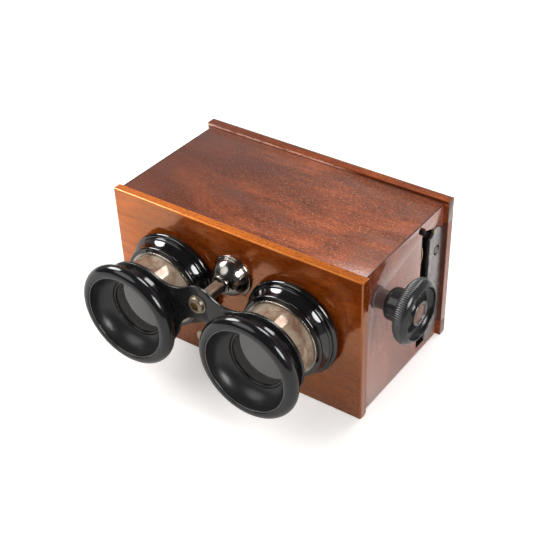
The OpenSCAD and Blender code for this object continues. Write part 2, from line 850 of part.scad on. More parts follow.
// channel bracket behind the panel: foot, two cheeks and a floor under the rod
module rack_bracket() {
  zt = pinion_z + shaft_r + 2.4;
  color("darkgoldenrod") difference() {
    union() {
      slab_y(y_body, y_body + bracket_t) box2(-bracket_foot, bracket_z0, bracket_foot, zt);
      for (s = [-1, 1]) slab_y(y_body, bracket_y1)
        box2(min(s*cheek_x, s*(cheek_x + bracket_t)), bracket_z0,
          max(s*cheek_x, s*(cheek_x + bracket_t)), zt);
      slab_y(y_body, bracket_y1) box2(-cheek_x, bracket_z0, cheek_x, bracket_z0 + bracket_t);
    }
    // way for the rod and the pinion through the foot
    slab_y(y_body - 1, y_body + bracket_t + 1)
      box2(-cheek_x, bracket_z0 + bracket_t, cheek_x, rod_top + 0.6);
    rod_x(pinion_y, pinion_z, shaft_r + shaft_clear, -bracket_foot, bracket_foot);
    bracket_screw_places() rod_y(0, 0, bracket_shank, y_body - 1, y_body + bracket_t + 1);
  }
}

module bracket_screw_places() {
  for (s = [-1, 1]) translate([s*(cheek_x + bracket_t + bracket_screw_r*1.15), 0,
    pinion_z - shaft_r]) children();
}

module bracket_screws() {
  y1 = y_body + bracket_t;
  color("gray") bracket_screw_places() difference() {
    union() {
      rod_y(0, 0, bracket_shank, y_body - bracket_deep, y1);
      rod_y(0, 0, bracket_screw_r, y1, y1 + bracket_shank);
    }
    translate([0, y1 + bracket_shank, 0])
      cube([bracket_screw_r*3, bracket_screw_r*0.5, bracket_screw_r*0.3], center = true);
  }
}

// nickel collar: foot ring, dome, neck ring and a plug in the panel
module rod_bell() {
  dome_r = bell_r - 0.75;
  neck_k = bell_h - 1.5;
  color("silver") turn_front(0, rod_z, y_front) difference() {
    union() {
      box2(0, 0, bell_r - 0.4, 1.2);
      translate([bell_r - 0.6, 0.6]) circle(0.6);
      intersection() {
        translate([0, 0.6]) circle(dome_r);
        box2(0, 1.1, dome_r, neck_k);
      }
      box2(0, 1, bell_neck_r - 0.4, bell_h);
      translate([bell_neck_r - 0.7, bell_h - 0.7]) circle(0.7);
      box2(0, -panel_t, bell_neck_r - 0.7, 0.5);
    }
    box2(-1, -panel_t - 1, sqrt(pow(rod_s/2, 2) + pow(rod_s/2 - rod_cut, 2)) + 0.3, bell_h + 1);
  }
}

// neck of the knob's shaft in the right side
module shaft_bush() {
  color("saddlebrown") turn_side(in_x) difference() {
    union() {
      box2(0, 0, bush_r - 1.2, wall_t);
      box2(0, wall_t, bush_r, wall_t + bush_len);
      box2(0, wall_t, bush_r + 0.7, wall_t + 0.8);
    }
    box2(-1, -1, shaft_r + shaft_clear, wall_t + bush_len + 1);
  }
}

// dished knob with a rounded rim, a bulbous hub and a raised lip
module knob() {
  lip_r = knob_mid + 1.1;
  color([0.08, 0.08, 0.08]) turn_side(side_x) difference() {
    union() {
      translate([knob_mid, rim_k]) circle(knob_bead);
      box2(0, rim_k - 2.4, knob_mid, rim_k + 0.4);
      box2(0, knob_k0 + 1.2, hub_r, rim_k);
      box2(0, knob_k0, hub_r - 1.2, rim_k);
      translate([hub_r - 1.2, knob_k0 + 1.2]) circle(1.2);
      box2(0, rim_k, boss_r + 0.3, boss_k);
      box2(lip_r - 0.45, rim_k, lip_r + 0.45, face_k);
      translate([lip_r, face_k]) circle(0.45);
    }
    // dished face between the boss and the lip
    intersection() {
      translate([(boss_r + lip_r)/2, rim_k + 3.6]) circle(3.3);
      box2(boss_r + 0.3, rim_k, lip_r - 0.45, face_k + 5);
    }
    translate([boss_r + 0.3, rim_k + 3.4]) square([lip_r - boss_r - 0.75, 4]);
    box2(-1, 0, shaft_r, boss_k - 1);
  }
}

module knob_ring() {
  color("white") turn_side(side_x) box2(knob_screw_r, boss_k, boss_r, boss_k + 1.1);
}

module knob_screw() {
  color("chocolate") turn_side(side_x) {
    box2(0, boss_k, knob_screw_r, boss_k + 0.5);
    box2(0, boss_k, knob_screw_r - 0.5, boss_k + 0.75);
  }
}

// Eyecups and lenses

// turned section; the bowl's circle passes through the throat's edge and the rim's lip
module eyecup_section() {
  lip = rim_mid - 0.9;
  top = rim_h + rim_r;
  mx = (throat_r + lip)/2;
  my = (throat_h + top)/2;
  d = sqrt(pow(lip - throat_r, 2) + pow(top - throat_h, 2));
  w = sqrt(bowl_r*bowl_r - d*d/4);
  cx = mx - (top - throat_h)/d*w;
  cy = my + (lip - throat_r)/d*w;
  difference() {
    union() {
      translate([rim_mid, rim_h]) circle(rim_r);
      polygon([[throat_r, 0], [neck_r, 0], [neck_r, rim_h - 5.4], [neck_r + 0.5, rim_h - 4.2],
        [rim_mid + 0.6, rim_h - 2.2], [rim_mid, top], [lip, top], [throat_r, top]]);
      box2(lens_r, spigot_z, tube_in_r, 0.5);
    }
    translate([cx, cy]) circle(bowl_r);
    box2(0, seat_h - 0.1, throat_r, top + 5);
    box2(0, cy, lip, top + 5);
    box2(-1, spigot_z - 1, lens_r, seat_h);
  }
}

module eyecup(s) {
  turn_front(s*lens_gap/2, lens_z, y_bridge) eyecup_section();
}

module left_eyecup() {
  color([0.1, 0.1, 0.1]) eyecup(-1);
}

module right_eyecup() {
  color([0.1, 0.1, 0.1]) eyecup(1);
}

// lens with two convex faces: edge band between two spherical caps
module lens(s) {
  sag = lens_curve - sqrt(lens_curve*lens_curve - throat_r*throat_r);
  turn_front(s*lens_gap/2, lens_z, y_bridge) intersection() {
    box2(0, seat_h - lens_edge - 3, lens_r, seat_h + 3);
    union() {
      box2(0, seat_h - lens_edge, lens_r, seat_h);
      intersection() {
        translate([0, seat_h + sag - lens_curve]) circle(lens_curve, $fn = 240);
        box2(0, seat_h - e, throat_r - 0.3, seat_h + 4);
      }
      intersection() {
        translate([0, seat_h - lens_edge - sag + lens_curve]) circle(lens_curve, $fn = 240);
        box2(0, seat_h - lens_edge - 4, lens_r - keep_t - 0.3, seat_h - lens_edge + e);
      }
    }
  }
}

module left_lens() {
  color("lightblue", 0.5) lens(-1);
}

module right_lens() {
  color("lightblue", 0.5) lens(1);
}

module lens_ring(s) {
  turn_front(s*lens_gap/2, lens_z, y_bridge)
    box2(lens_r - keep_t, seat_h - lens_edge - 1.8, lens_r, seat_h - lens_edge);
}

module left_lens_ring() {
  color("goldenrod") lens_ring(-1);
}

module right_lens_ring() {
  color("goldenrod") lens_ring(1);
}

// small cream stud low on the panel
module bone_stud() {
  color("wheat") turn_front(-stud_x, stud_z, y_front) {
    box2(0, 0, stud_r, stud_h - 0.25);
    box2(0, 0, stud_r - 0.25, stud_h);
  }
}

front_panel();
top_board();
bottom_board();
left_side();
right_side();
rear_top_rail();
rear_bottom_rail();
rear_left_stile();
rear_right_stile();
rear_glass();
glass_beads();
guide_frame();
slide_tracks();
slide_mask();
septum();
leaf_springs();
spring_rivets();
slot_plates();
plate_screws();
left_flange();
right_flange();
left_mouth_ring();
right_mouth_ring();
rod_bell();
rack_bracket();
bracket_screws();
shaft_bush();
bone_stud();
bridge();
bridge_screw();
rack_rod();
left_tube();
right_tube();
left_eyecup();
right_eyecup();
left_lens();
right_lens();
left_lens_ring();
right_lens_ring();
pinion_shaft();
pinion();
knob();
knob_ring();
knob_screw();
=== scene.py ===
"""Looks of a hand stereoscope: mahogany box, turned black eyepieces, nickel tubes and collar.
Profiles and pieces are in millimetres until a mesh is made; meshes, places in materials and the
camera's scene are in metres, in the frame of the model: +X towards the knob, +Y from the
eyepieces to the ground glass, +Z up."""

import json
import math

import bmesh
import bpy
import numpy as np
from mathutils import Matrix, Vector

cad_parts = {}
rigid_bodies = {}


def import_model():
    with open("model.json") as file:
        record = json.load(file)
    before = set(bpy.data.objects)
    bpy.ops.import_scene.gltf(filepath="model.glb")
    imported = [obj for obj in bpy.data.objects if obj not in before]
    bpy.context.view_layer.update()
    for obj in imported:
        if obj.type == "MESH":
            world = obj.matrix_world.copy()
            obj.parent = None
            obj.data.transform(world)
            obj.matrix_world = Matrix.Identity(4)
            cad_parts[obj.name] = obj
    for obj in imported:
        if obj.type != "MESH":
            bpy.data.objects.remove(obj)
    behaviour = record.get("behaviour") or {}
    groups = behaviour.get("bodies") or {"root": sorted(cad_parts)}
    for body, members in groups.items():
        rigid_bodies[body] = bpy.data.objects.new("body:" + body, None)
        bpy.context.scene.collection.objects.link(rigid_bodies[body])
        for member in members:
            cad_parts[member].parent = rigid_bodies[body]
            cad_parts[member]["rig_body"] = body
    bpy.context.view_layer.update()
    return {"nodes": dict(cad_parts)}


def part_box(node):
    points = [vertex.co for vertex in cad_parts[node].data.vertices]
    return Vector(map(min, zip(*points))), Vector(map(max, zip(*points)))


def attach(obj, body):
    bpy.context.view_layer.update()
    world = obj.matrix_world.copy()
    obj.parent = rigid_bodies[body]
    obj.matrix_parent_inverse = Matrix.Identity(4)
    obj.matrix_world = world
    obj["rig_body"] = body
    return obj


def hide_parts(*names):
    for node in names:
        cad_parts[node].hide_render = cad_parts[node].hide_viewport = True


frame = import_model()
MM = 0.001

# Places on the solids, in metres


def low(node):
    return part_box(node)[0]


def high(node):
    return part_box(node)[1]


PANEL_FACE = low("front_panel").y
PANEL_TOP = high("front_panel").z
LID_TOP = high("top_board").z
SIDE_FACE = high("right_side").x
FRAME_FRONT = low("rear_top_rail").y
FRAME_END = high("rear_top_rail").x
RAIL_LOW = low("rear_top_rail").z
GLASS_FRONT = low("rear_glass").y
SCREW_FACE = high("plate_screws").x
SCREW_R = (high("plate_screws").y - low("plate_screws").y) / 2
SCREW_Y = low("plate_screws").y + SCREW_R
SCREW_MID = (low("plate_screws").z + high("plate_screws").z) / 2
SCREW_HALF = (high("plate_screws").z - low("plate_screws").z) / 2 - SCREW_R

# Side boards: from the front of the slide slot to the rear of its finger notch, the upper end
# of the narrow nick before the notch, and the corner of the plate behind the notch
CUT_FRONT = 48.4 * MM
CUT_REAR = 61.2 * MM
NICK_TOP = 67.2 * MM
NICK_REAR = 53.0 * MM
NOTCH_REAR = 61.0 * MM
NOTCH_LOW = 63.0 * MM

# Wear and painted light along X: the open joint between lid and rear frame, darkened partly with
# painted contact shade; the foot of the top rail (dark to the right, partly painted shade; pale to
# the left, partly rubbed and partly a painted highlight) and the left end of the panel, lit by a
# painted reflection
JOINT_SHADE_X = (4 * MM, 40 * MM)
FOOT_DARK_X = (4 * MM, 30 * MM)
FOOT_PALE_X = (20 * MM, 0.0)
REFLECTED_END_X = (-30 * MM, -60 * MM)

# Places of the turned parts, in millimetres
PANEL_FRONT = PANEL_FACE / MM
BRIDGE_FRONT = low("bridge").y / MM
LENS_X = (low("right_tube").x + high("right_tube").x) / 2 / MM
LENS_Z = (low("right_tube").z + high("right_tube").z) / 2 / MM
ROD_Z = (low("rod_bell").z + high("rod_bell").z) / 2 / MM
KNOB_AT = (SIDE_FACE / MM, (low("knob").y + high("knob").y) / 2 / MM,
           (low("knob").z + high("knob").z) / 2 / MM)

# Sizes of the turned parts, in millimetres
TUBE_R = 17.4
TUBE_IN = 16.4
TUBE_LEN = 28.6
MOUTH_R = 17.47
SLEEVE_R = 18.37
LENS_R = 14.88
LENS_BALL = 62
BOWL_R = 9.0
BELL_BALL = 9.12
TEETH = 96
TOOTH_DEPTH = 0.3

# Studio, sizes in millimetres: the floor lies just under the object, and each softbox has a
# glowing disc for the mirrors, its radius this share of the softbox's side
FLOOR_HALF = 4000
FLOOR_DROP = 0.05
DOME_R = 3000
DISC_SHARE = 0.56

# Studio, levels: the floor's glow for the camera from near to far (m), the world's light on the
# object, and the dome's two tones with the heights and sides (of 1) between which it changes
FLOOR_GLOW = 0.35
FLOOR_NEAR = 0.30
FLOOR_FAR = 0.90
WORLD_FILL = 0.40
DOME_PALE = 0.36
DOME_DARK = 0.06
DOME_TOP = (0.68, 0.78)
DOME_SIDE = (-0.3, 0.05)
LAMP_AIM = (0, 10, 40)
# name, azimuth, elevation, distance (m), size (m), power (W), level in mirrors
LAMPS = (("left softbox", -92, 40, 1.1, 0.46, 4.5, 18),
         ("right softbox", 76, 34, 1.1, 0.44, 5.0, 16),
         ("rear softbox", 172, 54, 1.2, 0.44, 4.2, 14),
         ("front softbox", -36, 44, 1.2, 0.8, 6.4, 2.5))

# Camera of the photograph: azimuth to the right, elevation and roll in degrees
CAMERA_TURN = (33.8893, 38.1988, -0.531)
CAMERA_AT = (251.412, -309.387, 342.148)
CAMERA_LENS = 74.1685
CAMERA_SHIFT = (-0.0905, 0.0699)

# Profiles


def arc(cx, cy, r, start, end, n):
    """Points of a circle's arc round (cx, cy): centre plus r times (cos a, sin a), degrees."""
    a = np.radians(np.linspace(start, end, n))
    return np.stack([cx + r * np.cos(a), cy + r * np.sin(a)], 1)


def softened(corners, radii, step=0.35):
    """Closed outline through corners, each corner replaced by an arc of its radius.
    The arc starts r / tan(half the inner angle) before the corner, and straight stretches
    between arcs are divided every step."""
    c = np.asarray(corners, float)
    out = []
    for i in range(len(c)):
        q = c[i]
        u, v = c[i - 1] - q, c[(i + 1) % len(c)] - q
        lu, lv = np.linalg.norm(u), np.linalg.norm(v)
        u, v = u / lu, v / lv
        half = math.acos(max(-1.0, min(1.0, float(u @ v)))) / 2
        r = min(radii[i], 0.45 * min(lu, lv) * math.tan(half))
        back = r / math.tan(half)
        mid = (u + v) / np.linalg.norm(u + v)
        centre = q + mid * r / math.sin(half)
        a, b = q + u * back - centre, q + v * back - centre
        sweep = math.pi - 2 * half
        t = np.linspace(0, 1, max(3, int(math.degrees(sweep) / 11) + 2))[:, None]
        out.append(centre + (a * np.sin((1 - t) * sweep) + b * np.sin(t * sweep)) / math.sin(sweep))
    return divided(np.concatenate(out), step)


def divided(line, step, closed=True):
    """The same line with each stretch split into equal pieces no longer than step."""
    nxt = np.roll(line, -1, 0) if closed else np.vstack([line[1:], line[-1:]])
    count = np.maximum(1, np.ceil(np.linalg.norm(nxt - line, axis=1) / step).astype(int))
    idx = np.repeat(np.arange(len(line)), count)
    off = np.arange(len(idx)) - np.repeat(np.cumsum(count) - count, count)
    t = (off / count[idx])[:, None]
    return line[idx] * (1 - t) + nxt[idx] * t


# Meshes


def as_piece(name, mesh, body, material, replaces):
    """Object at the origin with this mesh, riding on a body and standing for solids."""
    ob = bpy.data.objects.new(name, mesh)
    bpy.context.scene.collection.objects.link(ob)
    mesh.materials.clear()
    mesh.materials.append(material)
    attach(ob, body)
    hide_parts(*replaces)
    return ob


def grid_mesh(name, points, wrap_u, wrap_v, attribute=None, sharp=40):
    """Mesh of a grid of points (u, v, xyz) in millimetres, joined to quads between neighbours,
    round the ends where wrapped; double points at poles are merged, faces turned outwards."""
    nu, nv = points.shape[:2]
    i = np.arange(nu if wrap_u else nu - 1)
    j = np.arange(nv if wrap_v else nv - 1)
    a, b = np.meshgrid(i, j, indexing="ij")
    a, b = a.ravel(), b.ravel()
    a1, b1 = (a + 1) % nu, (b + 1) % nv
    quads = np.stack([a * nv + b, a1 * nv + b, a1 * nv + b1, a * nv + b1], 1)
    mesh = bpy.data.meshes.new(name)
    mesh.from_pydata((points.reshape(-1, 3) * MM).tolist(), [], quads.tolist())
    if attribute is not None:
        at = mesh.attributes.new("zone", "FLOAT", "POINT")
        at.data.foreach_set("value", attribute.astype(np.float32).ravel())
    bm = bmesh.new()
    bm.from_mesh(mesh)
    bmesh.ops.remove_doubles(bm, verts=bm.verts, dist=1e-6)
    bmesh.ops.recalc_face_normals(bm, faces=bm.faces)
    bm.to_mesh(mesh)
    bm.free()
    mesh.polygons.foreach_set("use_smooth", np.ones(len(mesh.polygons), bool))
    mesh.set_sharp_from_angle(angle=math.radians(sharp))
    return mesh


def lathe(name, profile, place, steps=192, closed=True, zone=None, ripple=None, sharp=40):
    """Surface of revolution: a profile of radius r and height h turned by angle t.
    Facing the eye at (x, y, z): x + r cos t, y - h, z + r sin t.
    On the knob's axis at (x, y, z): x + h, y + r cos t, z + r sin t.
    ripple(t, r, h) is added to the radius, zone(t, r, h) is kept as a point attribute."""
    kind, x, y, z = place
    t = np.linspace(0, 2 * np.pi, steps, endpoint=False)[:, None]
    r, h = profile[:, 0][None, :], profile[:, 1][None, :]
    rr = r + (ripple(t, r, h) if ripple else 0 * t)
    c, s = rr * np.cos(t), rr * np.sin(t)
    hh = np.broadcast_to(h, c.shape)
    if kind == "front":
        pts = np.stack([x + c, y - hh, z + s], 2)
    else:
        pts = np.stack([x + hh, y + c, z + s], 2)
    at = np.broadcast_to(zone(t, r, h), c.shape) if zone else None
    return grid_mesh(name, pts, True, closed, at, sharp)


def eased(name, node, width, material, segments=3, angle=30, crown=None):
    """Copy of a solid's mesh with its loose triangles merged, flat faces rejoined and every
    edge rounded by a bevel of this width; crown = (height, width) rounds the edges that lie
    above a height more."""
    mesh = frame["nodes"][node].data.copy()
    mesh.name = name
    bm = bmesh.new()
    bm.from_mesh(mesh)
    bmesh.ops.remove_doubles(bm, verts=bm.verts, dist=2e-6)
    bmesh.ops.dissolve_limit(bm, angle_limit=math.radians(0.6), verts=bm.verts, edges=bm.edges)
    if crown:
        upper = [e for e in bm.edges if min(v.co.z for v in e.verts) > crown[0] * MM]
        bmesh.ops.bevel(bm, geom=upper, offset=crown[1] * MM, segments=5, profile=0.5,
                        affect="EDGES", clamp_overlap=True)
    bm.to_mesh(mesh)
    bm.free()
    mesh.polygons.foreach_set("use_smooth", np.ones(len(mesh.polygons), bool))
    ob = as_piece(name, mesh, frame["nodes"][node]["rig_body"], material, (node,))
    bev = ob.modifiers.new("eased edges", "BEVEL")
    bev.width = width * MM
    bev.segments = segments
    bev.limit_method = "ANGLE"
    bev.angle_limit = math.radians(angle)
    bev.harden_normals = True


# Node trees


class Tree:
    """Short hand for a node tree."""

    def __init__(self, tree):
        self.tree = tree

    def add(self, kind, **values):
        node = self.tree.nodes.new(kind)
        for key, value in values.items():
            setattr(node, key, value)
        return node

    def link(self, a, b):
        self.tree.links.new(a, b)

    def fill(self, socket, value):
        """Number, colour or link into a socket."""
        if isinstance(value, (int, float)):
            socket.default_value = value
        elif isinstance(value, tuple):
            socket.default_value = (*value, 1)
        else:
            self.link(value, socket)

    def ramp(self, fac, stops, ease="LINEAR"):
        r = self.add("ShaderNodeValToRGB")
        r.color_ramp.interpolation = ease
        els = r.color_ramp.elements
        for el, (pos, level) in zip(els, stops):
            el.position = pos
            el.color = (level, level, level, 1)
        self.link(fac, r.inputs["Fac"])
        return r.outputs["Color"]

    def mix(self, fac, a, b):
        m = self.add("ShaderNodeMix", data_type="RGBA", blend_type="MIX")
        for index, value in ((0, fac), (6, a), (7, b)):
            self.fill(m.inputs[index], value)
        return m.outputs[2]

    def math(self, op, a, b=0.0):
        m = self.add("ShaderNodeMath", operation=op)
        self.fill(m.inputs[0], a)
        self.fill(m.inputs[1], b)
        return m.outputs[0]

    def times(self, first, *others):
        for other in others:
            first = self.math("MULTIPLY", first, other)
        return first

    def span(self, value, start, end, a=0.0, b=1.0):
        """a at start to b at end, and flat beyond."""
        m = self.add("ShaderNodeMapRange")
        for key, number in (("From Min", start), ("From Max", end), ("To Min", a), ("To Max", b)):
            m.inputs[key].default_value = number
        self.link(value, m.inputs["Value"])
        return m.outputs["Result"]

    def ray(self, first, *others):
        """1 for rays of any of these kinds."""
        path = self.add("ShaderNodeLightPath")
        seen = path.outputs[first]
        for other in others:
            seen = self.math("MAXIMUM", seen, path.outputs[other])
        return seen


class Nodes(Tree):
    """Material with a principled surface, patterned in the object's own coordinates."""

    def __init__(self, name):
        self.mat = bpy.data.materials.new(name)
        self.mat.use_nodes = True
        super().__init__(self.mat.node_tree)
        self.bsdf = self.tree.nodes["Principled BSDF"]
        self.out = self.tree.nodes["Material Output"]
        self.coord = self.add("ShaderNodeTexCoord")

    def noise(self, scale, detail=3, rough=0.5, distort=0.0, move=(0, 0, 0)):
        """Noise of this scale per metre, one number or one for each axis."""
        m = self.add("ShaderNodeMapping")
        m.inputs["Scale"].default_value = scale if isinstance(scale, tuple) else (scale,) * 3
        m.inputs["Location"].default_value = move
        self.link(self.coord.outputs["Object"], m.inputs["Vector"])
        n = self.add("ShaderNodeTexNoise")
        for key, number in (("Scale", 1.0), ("Detail", detail), ("Roughness", rough),
                            ("Distortion", distort)):
            n.inputs[key].default_value = number
        self.link(m.outputs["Vector"], n.inputs["Vector"])
        return n.outputs["Fac"]

    def axis(self, name):
        s = self.add("ShaderNodeSeparateXYZ")
        self.link(self.coord.outputs["Object"], s.inputs[0])
        return s.outputs[name]

    def outward(self):
        return self.math("ABSOLUTE", self.axis("X"))

    def past(self, axis, start, soft, a=0.0, b=1.0):
        """a before a place on an axis and b beyond it, over soft metres; below 0 the other way."""
        return self.span(self.axis(axis), start, start + soft, a, b)

    def zone(self):
        return self.add("ShaderNodeAttribute", attribute_name="zone").outputs["Fac"]

    def bump(self, height, strength, distance):
        b = self.add("ShaderNodeBump")
        b.inputs["Strength"].default_value = strength
        b.inputs["Distance"].default_value = distance
        self.link(height, b.inputs["Height"])
        self.link(b.outputs["Normal"], self.bsdf.inputs["Normal"])

    def set(self, **values):
        for key, value in values.items():
            self.fill(self.bsdf.inputs[key.replace("_", " ")], value)


# Wood

# Panel's upper edge: bare wood with painted light, its front rim partly wear and partly a painted
# highlight
BARE_AND_LIT_WOOD = (0.66, 0.150, 0.002)
BARE_TICKS = (0.20, 0.04, 0.002)
RIM_WEAR_AND_HIGHLIGHT = (0.84, 0.30, 0.05)
HAZE = (0.175, 0.082, 0.064)
# Dark joints, with painted contact shade along the rear frame
JOINT_AND_SHADE_DARK = (0.03, 0.018, 0.02)
CUT_BLACK = (0.010, 0.007, 0.006)
# Painted shade: stiles' front faces and the right of the top rail's foot
PAINTED_SHADE_DARK = (0.030, 0.008, 0.005)
# Pale foot of the top rail: rubbed wear with a painted highlight
RUBBED_AND_HIGHLIGHT = (0.80, 0.46, 0.36)
END_DARK = (0.075, 0.050, 0.036)
END_PALE = (0.17, 0.115, 0.088)
END_JOINT = (0.02, 0.008, 0.006)


def along(grain, fine, coarse):
    """Scale of a pattern: coarse along the grain's axis and fine across it."""
    return tuple(coarse if a == grain else fine for a in "XYZ")


class Wood:
    """Patterns of one kind of board, all along its grain, and its three tones."""

    def __init__(self, n, grain, tones, pore, move):
        self.grain, self.move = grain, move
        self.dark, self.mid, self.light = tones
        self.broad = n.noise(along(grain, 46, 17), 5, 0.6, 0.9, move)
        self.streak = n.noise(along(grain, 300, 20), 6, 0.62, 0.6, move)
        self.mottle = n.noise(along(grain, 420, 170), 4, 0.65, 0.4, move)
        self.hair = n.noise(along(grain, 1500, 80), 3, 0.6, 0.3, move)
        pores = n.noise(along(grain, *pore), 2, 0.6, 0.3, move)
        self.open_pores = n.ramp(pores, [(0.555, 0.0), (0.655, 1.0)])
        self.dark_pores = n.ramp(pores, [(0.32, 1.0), (0.42, 0.0)])


def mahogany(name, grain, tones, cloud=0.6, contrast=0.45, flecks=0.2, fleck=(0.42, 0.19, 0.09),
             pore=(2300, 420), move=(0, 0, 0), gloss=0.28, polish=0.06, ior=1.28, body_ior=1.5,
             level=1.0, sheen=(1.0, 0.5, 0.35), marks=()):
    """Polished mahogany: clouds, long streaks and short open pores along the grain's axis,
    under a clear French polish. Each mark takes the nodes, the colour and the wood and
    returns the colour with its wear."""
    n = Nodes(name)
    wood = Wood(n, grain, tones, pore, move)
    body = n.mix(n.ramp(wood.streak, [(0.34, 0.0), (0.70, 1.0)]), wood.mid, wood.light)
    cloudy = n.ramp(wood.broad, [(0.38, 0.0), (0.64, 1.0)], "EASE")
    body = n.mix(n.times(n.math("SUBTRACT", 1.0, cloudy), cloud), body, wood.dark)
    body = n.mix(n.span(wood.mottle, 0.40, 0.66, 0.0, contrast), body, wood.dark)
    body = n.mix(n.span(wood.hair, 0.38, 0.7, 0.0, 0.3), body, wood.dark)
    body = n.mix(n.times(wood.open_pores, flecks), body, fleck)
    body = n.mix(n.times(wood.dark_pores, 0.6), body, wood.dark)
    for mark in marks:
        body = mark(n, body, wood)
    rough = n.span(n.noise(30, 4, 0.6, move=move), 0.3, 0.7, gloss - 0.05, gloss + 0.1)
    n.set(Base_Color=body, Roughness=rough, Coat_Weight=1.0, Coat_Roughness=polish,
          Coat_IOR=ior, IOR=body_ior, Specular_IOR_Level=level, Specular_Tint=sheen)
    n.bump(n.math("SUBTRACT", n.times(wood.streak, 0.25), n.times(wood.open_pores, 0.5)),
           0.10, 0.0002)
    return n.mat


def darker(start, end, amount):
    """Mark that darkens the wood along X from a place to another."""
    def mark(n, body, wood):
        return n.mix(n.span(n.axis("X"), start, end, 0.0, amount), body, wood.dark)
    return mark


def painted_reflection_end(n, body, wood):
    """The panel's left end in bright streaks: a painted reflection of the floor and the left
    softbox in the polish.
    """
    lit = n.mix(n.span(wood.streak, 0.36, 0.62), wood.light, tuple(1.9 * t for t in wood.light))
    lit = n.mix(n.times(wood.dark_pores, 0.5), lit, wood.mid)
    return n.mix(n.span(n.axis("X"), *REFLECTED_END_X, 0.0, 0.6), body, lit)


def bare_and_lit_edge(n, body, wood):
    """The panel's upper edge: bare golden wood brightened with painted light where light falls on
    it, dark ticks, and a front rim that is partly rubbed and partly a painted highlight.
    """
    top = n.past("Z", PANEL_TOP - 0.9 * MM, 0.7 * MM)
    body = n.mix(n.times(top, n.span(wood.streak, 0.28, 0.5, 0.7, 1.0)), body, BARE_AND_LIT_WOOD)
    grit = n.noise((900, 1500, 900), 2, 0.6, move=wood.move)
    body = n.mix(n.times(top, n.span(grit, 0.52, 0.64, 0.0, 0.75)), body, BARE_TICKS)
    rim = n.times(top, n.past("Y", PANEL_FACE + 0.75 * MM, -0.5 * MM))
    return n.mix(n.times(rim, n.span(wood.mottle, 0.35, 0.6, 0.0, 0.5)), body, RIM_WEAR_AND_HIGHLIGHT)


def bloom(n, body, wood):
    """Dull haze in broad patches of the polish."""
    haze = n.noise(along(wood.grain, 38, 16), 4, 0.6, 0.7, tuple(t + 3 for t in wood.move))
    return n.mix(n.span(haze, 0.50, 0.64, 0.0, 0.6), body, HAZE)


def joint_and_shade_lines(n, body, wood):
    """Dark joint of lid and sides, and of both with the right of the rear frame; along the rear
    frame the dark line is partly the open joint and partly painted contact shade.
    """
    corner = n.times(n.span(n.outward(), SIDE_FACE - 0.7 * MM, SIDE_FACE - 0.4 * MM),
                     n.past("Z", LID_TOP - 0.35 * MM, 0.3 * MM))
    gap = n.times(n.past("Y", FRAME_FRONT - 0.7 * MM, 0.3 * MM), n.span(n.axis("X"), *JOINT_SHADE_X))
    line = n.math("MAXIMUM", corner, gap)
    return n.mix(n.times(line, 0.85), body, JOINT_AND_SHADE_DARK)


def cut_faces(n, body, wood):
    """Black inner faces of the slide slot and its notch; the nick's upper end stays wood."""
    cut = n.times(n.past("Y", CUT_FRONT, 0.4 * MM), n.past("Y", CUT_REAR, -0.4 * MM))
    cut = n.times(cut, n.span(n.outward(), SIDE_FACE - 0.08 * MM, SIDE_FACE - 0.18 * MM))
    nick = n.times(n.past("Z", NICK_TOP, 0.3 * MM), n.past("Y", NICK_REAR, -0.4 * MM))
    return n.mix(n.times(cut, n.math("SUBTRACT", 1.0, nick)), body, CUT_BLACK)


def shaded_stile_front(n, body, wood):
    """Front face of the rear frame's stiles, darkened with painted shade."""
    return n.mix(n.past("Y", FRAME_FRONT + 0.4 * MM, -0.3 * MM, 0.0, 0.85), body, PAINTED_SHADE_DARK)


def rail_foot(n, body, wood):
    """Line where the top rail rises from the lid: dark on the right, partly the joint and partly
    painted shade; pale on the left, partly rubbed and partly a painted highlight.
    """
    foot = n.times(n.past("Y", FRAME_FRONT + 0.6 * MM, -0.3 * MM),
                   n.past("Z", LID_TOP + 0.05 * MM, 0.2 * MM),
                   n.past("Z", LID_TOP + 1.35 * MM, -0.3 * MM))
    dark = n.span(n.axis("X"), *FOOT_DARK_X, 0.0, 0.9)
    body = n.mix(n.times(foot, dark), body, PAINTED_SHADE_DARK)
    rubbed = n.times(n.span(n.axis("X"), *FOOT_PALE_X, 0.0, 0.8),
                     n.span(wood.mottle, 0.38, 0.50, 0.2, 1.0))
    return n.mix(n.times(foot, rubbed), body, RUBBED_AND_HIGHLIGHT)


def end_grain(n, body, wood):
    """Grey end grain of the rails, and the joint under the top rail."""
    end = n.span(n.outward(), FRAME_END - 0.6 * MM, FRAME_END - 0.3 * MM)
    body = n.mix(n.times(end, 0.85), body, n.mix(wood.streak, END_DARK, END_PALE))
    joint = n.math("ABSOLUTE", n.math("SUBTRACT", n.axis("Z"), RAIL_LOW))
    joint = n.span(joint, 0.4 * MM, 0.2 * MM)
    return n.mix(n.times(joint, end, 0.9), body, END_JOINT)


# Black, metal and glass

# Pale line on lips and throat edges: wear and a painted highlight
WEAR_AND_HIGHLIGHT_LINE = (0.10, 0.098, 0.094)
DUST = (0.5, 0.49, 0.46)
PLATE_GRIME = (0.12, 0.11, 0.105)
NOTCH_BRASS = (0.85, 0.72, 0.30)
SCREW_DARK = (0.012, 0.01, 0.01)
RECESS_BROWN = (0.12, 0.08, 0.03)
TUBE_CREAM = (0.40, 0.325, 0.245)
TUBE_BROWN = (0.215, 0.125, 0.078)
TUBE_SPECK = (0.10, 0.065, 0.05)
TUBE_INSIDE = (0.006, 0.006, 0.006)
GLASS_WHITE = ((0.86, 0.85, 0.81), (0.78, 0.77, 0.73))
# Painted shade: inner face of the ground glass
GLASS_INNER_SHADE = (0.05, 0.048, 0.045)
# Painted shade: the dark box seen through the lenses
LENS_SHADE = ((0.055, 0.053, 0.050), (0.07, 0.068, 0.064))


